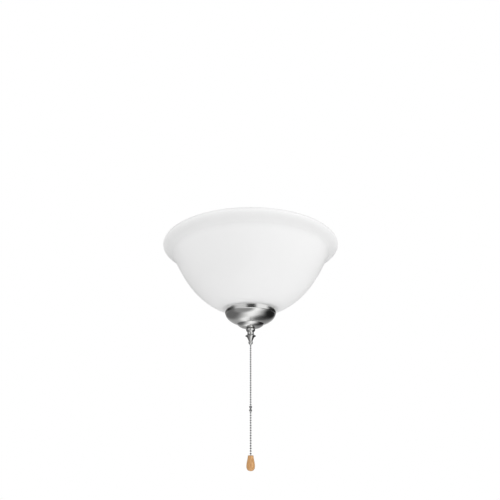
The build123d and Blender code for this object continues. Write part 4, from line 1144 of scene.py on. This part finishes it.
cap_points = [(0, cap_foot_z), (cap_foot, cap_foot_z), (cap_thread - cap_turn_in, cap_start)]
cap_points += wall_points(cap_thread, cap_start + cap_turn_in, cap_plain)
cap_points += [(cap_thread, cap_end), (cap_inside, cap_end)]
cap_points += [(cap_inside, cap_start + cap_turn_in * 2), (0, cap_start + cap_turn_in * 2)]
shell_points = [(shell_hole, shell_floor), (shell_inner, shell_floor)]
shell_points += wall_points(shell_inner + shell_sheet, shell_low, shell_end)
shell_points += wall_points(shell_inner, shell_end, shell_low)
shell_points.append((shell_hole, shell_low))

for side_name in ("left", "right"):
    joint = joints[f"{side_name}_bulb_turn"]
    along = Vector(joint["axis"]).to_track_quat("Z", "Y").to_matrix().to_4x4()
    holder = Matrix.Translation(Vector(joint["pos_m"])) @ along
    cap_mesh = turned(f"{side_name}_threaded_cap", cap_points, 64, cap_cut)
    cap_mesh.materials.append(finishes["shell_aluminium"])
    cap_mesh.materials.append(finishes["holder_phenolic"])
    for face in cap_mesh.polygons:
        face.material_index = int(face.center.z < insulator_top)
    shell_mesh = turned(f"{side_name}_threaded_shell", shell_points, 64, shell_cut)
    bulb_body, cap_node = f"{side_name}_bulb", f"{side_name}_bulb_cap"
    finished(cap_mesh, bulb_body, "shell_aluminium", cap_node, holder)
    finished(shell_mesh, "kit", "shell_aluminium", f"{side_name}_screw_shell", holder)

# %% [markdown]
# ## The switch's return spring
#
# A coil of wire in the pull switch pushes the plunger back up after each pull.
# Its last half turns lie flat, so that it stands square. A curve with a round
# bevel could draw the wire, but rings of points give a mesh straight away, with
# both ends closed.

# %% Spring
spring_wire = 0.6 * MM
spring_radius = 2.55 * MM
spring_turns = 4.5
flat_turns = 0.5
steps_a_turn = 28
wire_sides = 10
spring_low = low_of("switch_spring")
spring_high = high_of("switch_spring")
spring_climb = spring_high - spring_low - spring_wire


def coil_ring(turn):
    """The points round the wire after so many turns."""
    angle = 2 * math.pi * turn
    climbed = max(0.0, min(1.0, (turn - flat_turns) / (spring_turns - 2 * flat_turns)))
    height = spring_low + spring_wire / 2 + spring_climb * climbed
    points = []
    for side in range(wire_sides):
        round_wire = 2 * math.pi * side / wire_sides
        reach = spring_radius + spring_wire / 2 * math.cos(round_wire)
        lift = height + spring_wire / 2 * math.sin(round_wire)
        points.append(Vector((reach * math.cos(angle), reach * math.sin(angle), lift)))
    return points


coil_steps = round(spring_turns * steps_a_turn)
wire_rings = [coil_ring(spring_turns * step / coil_steps) for step in range(coil_steps + 1)]
spring_mesh = capped("coiled_spring", wire_rings)
coil = finished(spring_mesh, "kit", "spring_steel", "switch_spring")
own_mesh(coil)

# %% [markdown]
# ## Wire connectors
#
# Three twist-on connectors join the leads above the plate. Their fluted sides
# give the fingers a grip, so the cone gets flutes instead of six flat sides.

# %% Connectors
connector_mouth = 5.0 * MM
connector_tip = 3.5 * MM
connector_height = 17.0 * MM
connector_pocket = 3.6 * MM
connector_depth = 8.0 * MM
connector_raise = 2.5 * MM
connector_skirt = 1.5 * MM
connector_bulge = 0.25 * MM
connector_round = 0.5 * MM
connector_shoulder = connector_height * 0.92
connector_reach = 36 * MM
third_connector = (27 * MM, -24 * MM)
flute_top = connector_height * 0.93
flute_count = 12
flute_depth = 0.4 * MM
connector_z = low_of("wire_connectors")


def flutes(angle, radius, height):
    """Rounded grooves up the outside of a connector."""
    if radius < connector_pocket or height > flute_top:
        return 0.0
    return flute_depth * (0.5 - 0.5 * math.cos(flute_count * angle))


cone = [(connector_pocket, 0), (connector_mouth, 0), (connector_mouth, connector_skirt)]
cone += [(connector_tip + connector_bulge, connector_shoulder)]
cone += [(connector_tip - connector_round, connector_height), (0, connector_height)]
cone += [(0, connector_depth), (connector_pocket, connector_depth)]
connector_mesh = bpy.data.meshes.new("fluted_connectors")
connector_spots = [
    Vector((0, -connector_reach, connector_z)),
    Vector((0, connector_reach, connector_z)),
    Vector((*third_connector, connector_z + connector_raise)),
]
for spot in connector_spots:
    ringed(connector_mesh, circles(cone, flutes), 96, Matrix.Translation(spot))
finished(connector_mesh, "kit", "connector", "wire_connectors")

# %% [markdown]
# ## Studio
#
# A floor far below takes a faint shadow, and with the distance it turns as white
# as the world, so that no horizon shows. The glass is lit plainly from all
# sides, a little more from the right. Three soft lamps do that, and none of them
# shows in the metal.

# %% Studio helpers
def seen_share(tree):
    """1 for a ray that shows a thing straight, in a mirror or through glass, else 0."""
    ray = add(tree, "LightPath").outputs
    seen = maths(tree, "MAXIMUM", ray["Is Camera Ray"], ray["Is Glossy Ray"])
    return maths(tree, "MAXIMUM", seen, ray["Is Transmission Ray"])


def bare_tree(mesh, name):
    """The node tree of a new material on a mesh, with no shader in it yet."""
    material = bpy.data.materials.new(name)
    material.use_nodes = True
    material.node_tree.nodes.remove(material.node_tree.nodes["Principled BSDF"])
    mesh.materials.append(material)
    return material.node_tree


def put_out(tree, share, first, second):
    """Sends a mix of two shaders to the material's output."""
    mixed = add(tree, "MixShader", {0: share, 1: first, 2: second}).outputs[0]
    tree.links.new(mixed, tree.nodes["Material Output"].inputs["Surface"])


print("studio helpers ready")

# %% World
world = bpy.data.worlds.new("studio")
bpy.context.scene.world = world
world.use_nodes = True
world_tree = world.node_tree
backdrop = world_tree.nodes["Background"]
plain_level = 0.90
level = spread(world_tree, seen_share(world_tree), 0, 1, plain_level, 1.0)
world_tree.links.new(level, backdrop.inputs["Strength"])
backdrop.inputs["Color"].default_value = (1, 1, 1, 1)
print("world level", plain_level)

# %% Floor
floor_z = -0.82
floor_size = 12.0
shadow_keep = 0.3
fade_start = 0.7
fade_end = 1.9
half = floor_size / 2
floor_sides = [(-half, -half), (half, -half), (half, half), (-half, half)]
floor_corners = [(x, y, floor_z) for x, y in floor_sides]
floor_mesh = bpy.data.meshes.new("floor")
floor_mesh.from_pydata(floor_corners, [], [(0, 1, 2, 3)])
floor = bpy.data.objects.new("floor", floor_mesh)
bpy.context.scene.collection.objects.link(floor)
tree = bare_tree(floor_mesh, "floor_paint")
spot = add(tree, "NewGeometry").outputs["Position"]
away = add(tree, "VectorMath", {0: spot}, operation="LENGTH").outputs["Value"]
whitened = spread(tree, away, fade_start, fade_end, 1 - shadow_keep, 1.0)
paint = add(tree, "BsdfDiffuse", {"Color": (0.9, 0.9, 0.9, 1)}).outputs[0]
white = add(tree, "Emission", {"Color": (1, 1, 1, 1), "Strength": 1.0}).outputs[0]
put_out(tree, maths(tree, "MULTIPLY", seen_share(tree), whitened), paint, white)
print("floor at", floor_z)

# %% Lamps
aim = Vector((0, 0, -0.13))


def way_to(azimuth, elevation):
    """A direction from its angles in degrees. Azimuth 0 is the camera's side, and 90 the right."""
    turn, rise = math.radians(azimuth), math.radians(elevation)
    return Vector((math.sin(turn) * math.cos(rise), -math.cos(turn) * math.cos(rise), math.sin(rise)))


def lamp(name, azimuth, elevation, distance, size, power):
    data = bpy.data.lights.new(name, "AREA")
    data.size = size
    data.energy = power
    back = way_to(azimuth, elevation)
    light = bpy.data.objects.new(name, data)
    light.location = aim + back * distance
    light.rotation_mode = "QUATERNION"
    light.rotation_quaternion = back.to_track_quat("Z", "Y")
    light.visible_glossy = False
    bpy.context.scene.collection.objects.link(light)


lamp("right_lamp", 62, -4, 1.6, 0.9, 4.0)
lamp("left_lamp", -60, 5, 1.8, 1.2, 1.6)
lamp("low_lamp", 25, -52, 0.8, 1.0, 0.9)
print("lamps set")

# %% [markdown]
# ## Cards for the metal
#
# Metal only shows what it reflects, so the look of the cup comes from what stands
# round it. Above the horizon a light wall is broken by dark cards behind the
# camera and at both sides, which gives the cup's band its black and white.
# Below it, a black card at the right and grey ones at the left and behind leave
# a bright gap, which runs across the cup's belly. Real cards would hide each
# other by their distance, so they are laid on one sphere instead, each over
# those before it, and the sphere shows in reflections alone.

# %% Card helpers
def eased(value, low, high):
    """A smooth step from 0 to 1 between two values."""
    share = max(0.0, min(1.0, (value - low) / (high - low)))
    return share * share * (3 - 2 * share)


def round_card(azimuth, elevation, reach, level, soft):
    """A round card with a soft border. It gives its cover of a direction, and its level."""
    middle = way_to(azimuth, elevation)

    def cover(turn, rise):
        away = math.degrees(way_to(turn, rise).angle(middle))
        return 1 - eased(away, reach - soft / 2, reach + soft / 2)

    return cover, level


def tall_card(first, last, level, soft, foot=4, foot_soft=7):
    """A card that stands between two azimuths, from just over the horizon upward."""
    middle = (first + last) / 2
    half_width = (last - first) / 2

    def cover(turn, rise):
        off = abs((turn - middle + 180) % 360 - 180)
        side = 1 - eased(off, half_width - soft / 2, half_width + soft / 2)
        return side * eased(rise, foot - foot_soft / 2, foot + foot_soft / 2)

    return cover, level


print("card helpers ready")

# %% Cards and panels for the metal
cards = [
    round_card(-99, -9, 63, 0.13, 46),
    round_card(-31, -10, 44, 0.27, 26),
    round_card(-176, -30, 23, 0.33, 22),
    round_card(172, -65, 21, 0.95, 14),
    round_card(136, -59, 20, 0.17, 23),
    round_card(110, -18, 51, 0.014, 56),
    tall_card(-180, 180, 0.86, 1),
    tall_card(-72, -16, 0.60, 14),
    tall_card(80, 152, 0.02, 26),
    tall_card(-150, -70, 0.09, 24),
    tall_card(-120, -94, 0.02, 14),
    tall_card(-17, 24, 0.04, 16),
    tall_card(152, 182, 0.34, 16),
    tall_card(182, 214, 0.16, 10),
]
print("cards set:", len(cards))

# %% The sphere that carries them
surround_radius = 0.62
surround_rows = 72
surround_columns = 144
corners = []
covers = []
levels = []
for row in range(surround_rows + 1):
    for column in range(surround_columns):
        turn = 360 * column / surround_columns
        rise = 180 * row / surround_rows - 90
        held = 0.0
        shine = 0.0
        for cover, card_level in cards:
            share = cover(turn, rise)
            held = held * (1 - share) + share
            shine = shine * (1 - share) + share * card_level
        corners.append(aim + way_to(turn, rise) * surround_radius)
        covers.append(held)
        levels.append(shine / max(held, 0.001))
faces = []
for row in range(surround_rows):
    for column in range(surround_columns):
        after = (column + 1) % surround_columns
        low_row, high_row = row * surround_columns, (row + 1) * surround_columns
        faces.append((low_row + column, low_row + after, high_row + after, high_row + column))
surround_mesh = bpy.data.meshes.new("surround")
surround_mesh.from_pydata(corners, [], faces)
surround_mesh.shade_smooth()
surround_mesh.attributes.new("cover", "FLOAT", "POINT").data.foreach_set("value", covers)
surround_mesh.attributes.new("level", "FLOAT", "POINT").data.foreach_set("value", levels)
tree = bare_tree(surround_mesh, "surround_paint")
shining = add(tree, "Attribute", attribute_name="level").outputs["Fac"]
glow = add(tree, "Emission", {"Color": (1, 1, 1, 1), "Strength": shining}).outputs[0]
clear = add(tree, "BsdfTransparent").outputs[0]
put_out(tree, add(tree, "Attribute", attribute_name="cover").outputs["Fac"], clear, glow)
surround = bpy.data.objects.new("surround", surround_mesh)
bpy.context.scene.collection.objects.link(surround)
surround.visible_camera = False
surround.visible_diffuse = False
surround.visible_shadow = False
surround.visible_transmission = False
surround.visible_volume_scatter = False
print("sphere corners:", len(corners))
